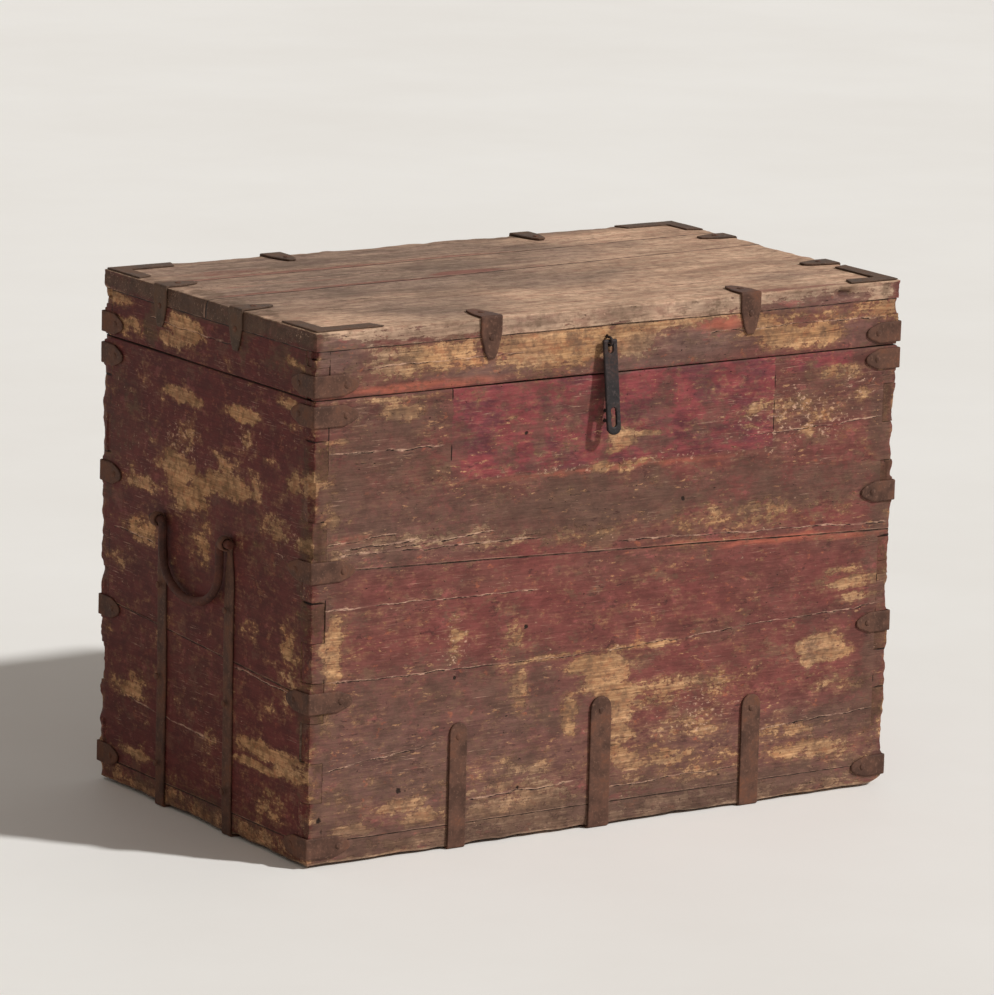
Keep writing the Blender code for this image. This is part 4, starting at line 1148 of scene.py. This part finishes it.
def timber_sides(timber):
    """How along and up are counted on each side, and what its boards look like."""
    left, right, front, back = timber[:4]
    long_joints = finger_joint_lines(right - left)
    end_joints = finger_joint_lines(back - front)
    front_lines = (FRONT_CRACKS, FRONT_SEAMS, long_joints + PANEL_EDGES, FRONT_PANELS, FRONT_HOLES)
    long_lines = (BACK_CRACKS, LEVEL_SEAMS, long_joints)
    return {
        "front": Side(LONG_LOOK, X_GRAIN, X_AND_Z, -left, 1.0, 0.0, *front_lines),
        "back": Side(LONG_LOOK, X_GRAIN, X_AND_Z, right, -1.0, 0.0, *long_lines),
        "left": Side(END_LOOK, Y_GRAIN, Y_AND_Z, back, -1.0, 0.0, LEFT_CRACKS, LEFT_SEAMS, end_joints),
        "right": Side(END_LOOK, Y_GRAIN, Y_AND_Z, -front, 1.0, 0.0, RIGHT_CRACKS, LEVEL_SEAMS, end_joints),
        "top": Side(TOP_LOOK, TOP_GRAIN, X_AND_Y, -left, 1.0, -front, TOP_CRACKS, TOP_SEAMS),
    }


def make_timber(nodes, timber):
    marks = {
        "front": FRONT_MARKS,
        "left": LEFT_MARKS,
        "top": TOP_MARKS,
        "back": hidden_side_marks(BACK_SEED, timber.right - timber.left, timber.top),
        "right": hidden_side_marks(RIGHT_SEED, timber.back - timber.front, timber.top),
        "bottom": BOTTOM_MARKS,
    }
    sides = timber_sides(timber)
    materials = {name: timber_material(f"{name}_timber", side) for name, side in sides.items()}
    edge_iron = [name for name in sorted(nodes) if any(word in name for word in EDGE_IRON_WORDS)]
    iron_boxes = [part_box(name) for name in edge_iron]
    boards = []
    for side in ("front", "back", "left", "right"):
        for name in (f"{side}_board_lower", f"{side}_board_upper"):
            boards.append((name, "box", side, True))
        boards.append((f"lid_rail_{side}", "lid", side, True))
    boards.append(("bottom_panel", "box", "front", False))
    for name in ("lid_board_front", "lid_board_middle", "lid_board_rear"):
        boards.append((name, "lid", "top", False))
    for seed, (name, body, side, has_fingers) in enumerate(boards, start=1):
        grain_axis = sides[side].axes[0]
        board = worn_board(timber, nodes[name], grain_axis, seed, marks, has_fingers, iron_boxes)
        board.data.materials.append(materials[side])
        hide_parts(name)
        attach(board, body)


def strap_wobble(points, seed):
    """Sideways bends of a long strap, none at the eyes in which a bail turns."""
    heights = np.stack((np.sign(points[:, 0]), np.zeros(len(points)), points[:, 2]), axis=1)
    bends = fractal(heights, (3.0, 1.0, 13.0), seed + 3, 2)
    below_eyes = 1.0 - smoothstep(*STRAP_WOBBLE_FADE, points[:, 2])
    return STRAP_WOBBLE * bends * below_eyes


def forged(node, seed):
    """A dense copy of an iron node with softened edges and a hammered face."""
    mesh = remeshed(node, f"forged_{node.name}", {"mode": "VOXEL", "voxel_size": IRON_VOXEL})
    points, normals = mesh_arrays(mesh)
    lowest = points[:, 2].min()
    dents = fractal(points, (42.0, 42.0, 42.0), seed, 3)
    points += normals * (HAMMER_DEPTH * dents)[:, None]
    points[:, 2] = np.maximum(points[:, 2], lowest)
    if "carrying_strap" in node.name:
        points[:, 1] += strap_wobble(points, seed)
    mesh.vertices.foreach_set("co", points.ravel())
    mesh.shade_smooth()
    mesh.update()
    return linked(mesh.name, mesh)


def make_iron(nodes, bodies):
    iron = iron_material("brown_iron", BROWN_IRON)
    soiled_iron = iron_material("soiled_iron", SOILED_IRON)
    painted_iron = iron_material("painted_iron", PAINTED_IRON)
    dark_iron = iron_material("dark_iron", DARK_IRON)
    body_names = {empty: name for name, empty in bodies.items()}
    for seed, (name, node) in enumerate(sorted(nodes.items())):
        if any(word in name for word in TIMBER_WORDS):
            continue
        is_dark = name in DARK_IRON_NODES
        material = dark_iron if is_dark else iron
        if any(word in name for word in PAINTED_IRON_WORDS):
            material = painted_iron
        elif any(word in name for word in SOILED_IRON_WORDS):
            material = soiled_iron
        piece = forged(node, seed)
        piece.data.materials.append(material)
        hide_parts(name)
        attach(piece, body_names[node.parent])
    return iron


def add_nail(mesh, point, normal, generator):
    """A flat forged head, a little out of round, standing on the surface at point."""
    normal = Vector(normal)
    across = normal.orthogonal().normalized()
    turned = normal.cross(across)
    rings = []
    for share, rise in NAIL_PROFILE:
        ring = []
        for step in range(NAIL_SIDES):
            angle = math.tau * step / NAIL_SIDES
            reach = NAIL_RADIUS * share * generator.uniform(*NAIL_REACH_RANGE)
            lift = normal * rise * generator.uniform(*NAIL_RISE_RANGE)
            out = across * math.cos(angle) + turned * math.sin(angle)
            ring.append(mesh.verts.new(Vector(point) + out * reach + lift))
        rings.append(ring)
    for lower, upper in zip(rings, rings[1:]):
        for step in range(NAIL_SIDES):
            after = (step + 1) % NAIL_SIDES
            mesh.faces.new((lower[step], lower[after], upper[after], upper[step]))
    mesh.faces.new(rings[-1])
    mesh.faces.new(rings[0][::-1])


def band_nails():
    """Nails of the corner bands, one on each leg: point, face and body."""
    for front_back, left_right in itertools.product(("front", "back"), ("left", "right")):
        corner = f"{front_back}_{left_right}"
        names = [f"corner_band_{corner}_{level}" for level in range(1, 5)] + [f"lid_band_{corner}"]
        for name in names:
            low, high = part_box(name)
            z = (low.z + high.z) / 2
            body = "lid" if name.startswith("lid") else "box"
            x = high.x - BAND_NAIL_INSET if left_right == "left" else low.x + BAND_NAIL_INSET
            y = high.y - BAND_NAIL_INSET if front_back == "front" else low.y + BAND_NAIL_INSET
            yield (x, low.y if front_back == "front" else high.y, z), front_back, body
            yield (low.x if left_right == "left" else high.x, y, z), left_right, body


def strap_nails():
    """Nails of the front straps, the carrying straps, the lid's clips and the hinges."""
    for place in ("left", "middle", "right"):
        low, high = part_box(f"front_strap_{place}")
        x = (low.x + high.x) / 2
        yield (x, low.y, high.z - BAND_NAIL_INSET), "front", "box"
    for place in ("front", "rear"):
        low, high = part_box(f"carrying_strap_{place}")
        y = (low.y + high.y) / 2
        for z in CARRYING_NAIL_HEIGHTS:
            yield (low.x + BAIL_EYE_PROUD, y, z), "left", "box"
            yield (high.x - BAIL_EYE_PROUD, y, z), "right", "box"
    for side, on_top, number in itertools.product(("front", "left", "right"), (True, False), (1, 2)):
        low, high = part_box(f"lid_clip_{side}_{number}")
        middle = (low + high) / 2
        if on_top:
            yield (middle.x, middle.y, high.z), "top", "lid"
        elif side == "front":
            yield (middle.x, low.y, middle.z), "front", "lid"
        else:
            yield (low.x if side == "left" else high.x, middle.y, middle.z), side, "lid"
    for side in ("left", "right"):
        low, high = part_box(f"hinge_{side}_lower_leaf")
        upper_low, upper_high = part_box(f"hinge_{side}_upper_leaf")
        x = (low.x + high.x) / 2
        leaf_face = low.y + HINGE_LEAF_THICKNESS
        for z in (low.z + HINGE_NAIL_INSET, low.z + 3 * HINGE_NAIL_INSET):
            yield (x, leaf_face, z), "back", "box"
        yield (x, leaf_face, upper_high.z - 2 * HINGE_NAIL_INSET), "back", "lid"
        yield (x, upper_low.y + HINGE_NAIL_INSET, upper_high.z), "top", "lid"


def make_nails(iron):
    generator = np.random.default_rng(NAIL_SEED)
    meshes = {"box": bmesh.new(), "lid": bmesh.new()}
    for point, face, body in itertools.chain(band_nails(), strap_nails()):
        add_nail(meshes[body], point, FACE_NORMALS[face], generator)
    for body, nails in meshes.items():
        bmesh.ops.recalc_face_normals(nails, faces=nails.faces)
        mesh = bpy.data.meshes.new(f"{body}_nails")
        nails.to_mesh(mesh)
        nails.free()
        mesh.shade_smooth()
        mesh.set_sharp_from_angle(angle=CREASE_ANGLE)
        mesh.materials.append(iron)
        piece = linked(mesh.name, mesh)
        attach(piece, body)


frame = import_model()
bottom_low, bottom_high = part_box("bottom_panel")
lid_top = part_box("lid_board_front")[1].z
lid_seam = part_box("front_board_upper")[1].z
ends = (bottom_low.x, bottom_high.x, bottom_low.y, bottom_high.y)
timber_box = Timber(*ends, bottom_low.z, lid_top, lid_seam)

bpy.context.scene.view_settings.view_transform = "Standard"
make_stage()
make_light()
make_camera()
make_timber(frame["nodes"], timber_box)
rusty_iron = make_iron(frame["nodes"], frame["bodies"])
make_nails(rusty_iron)
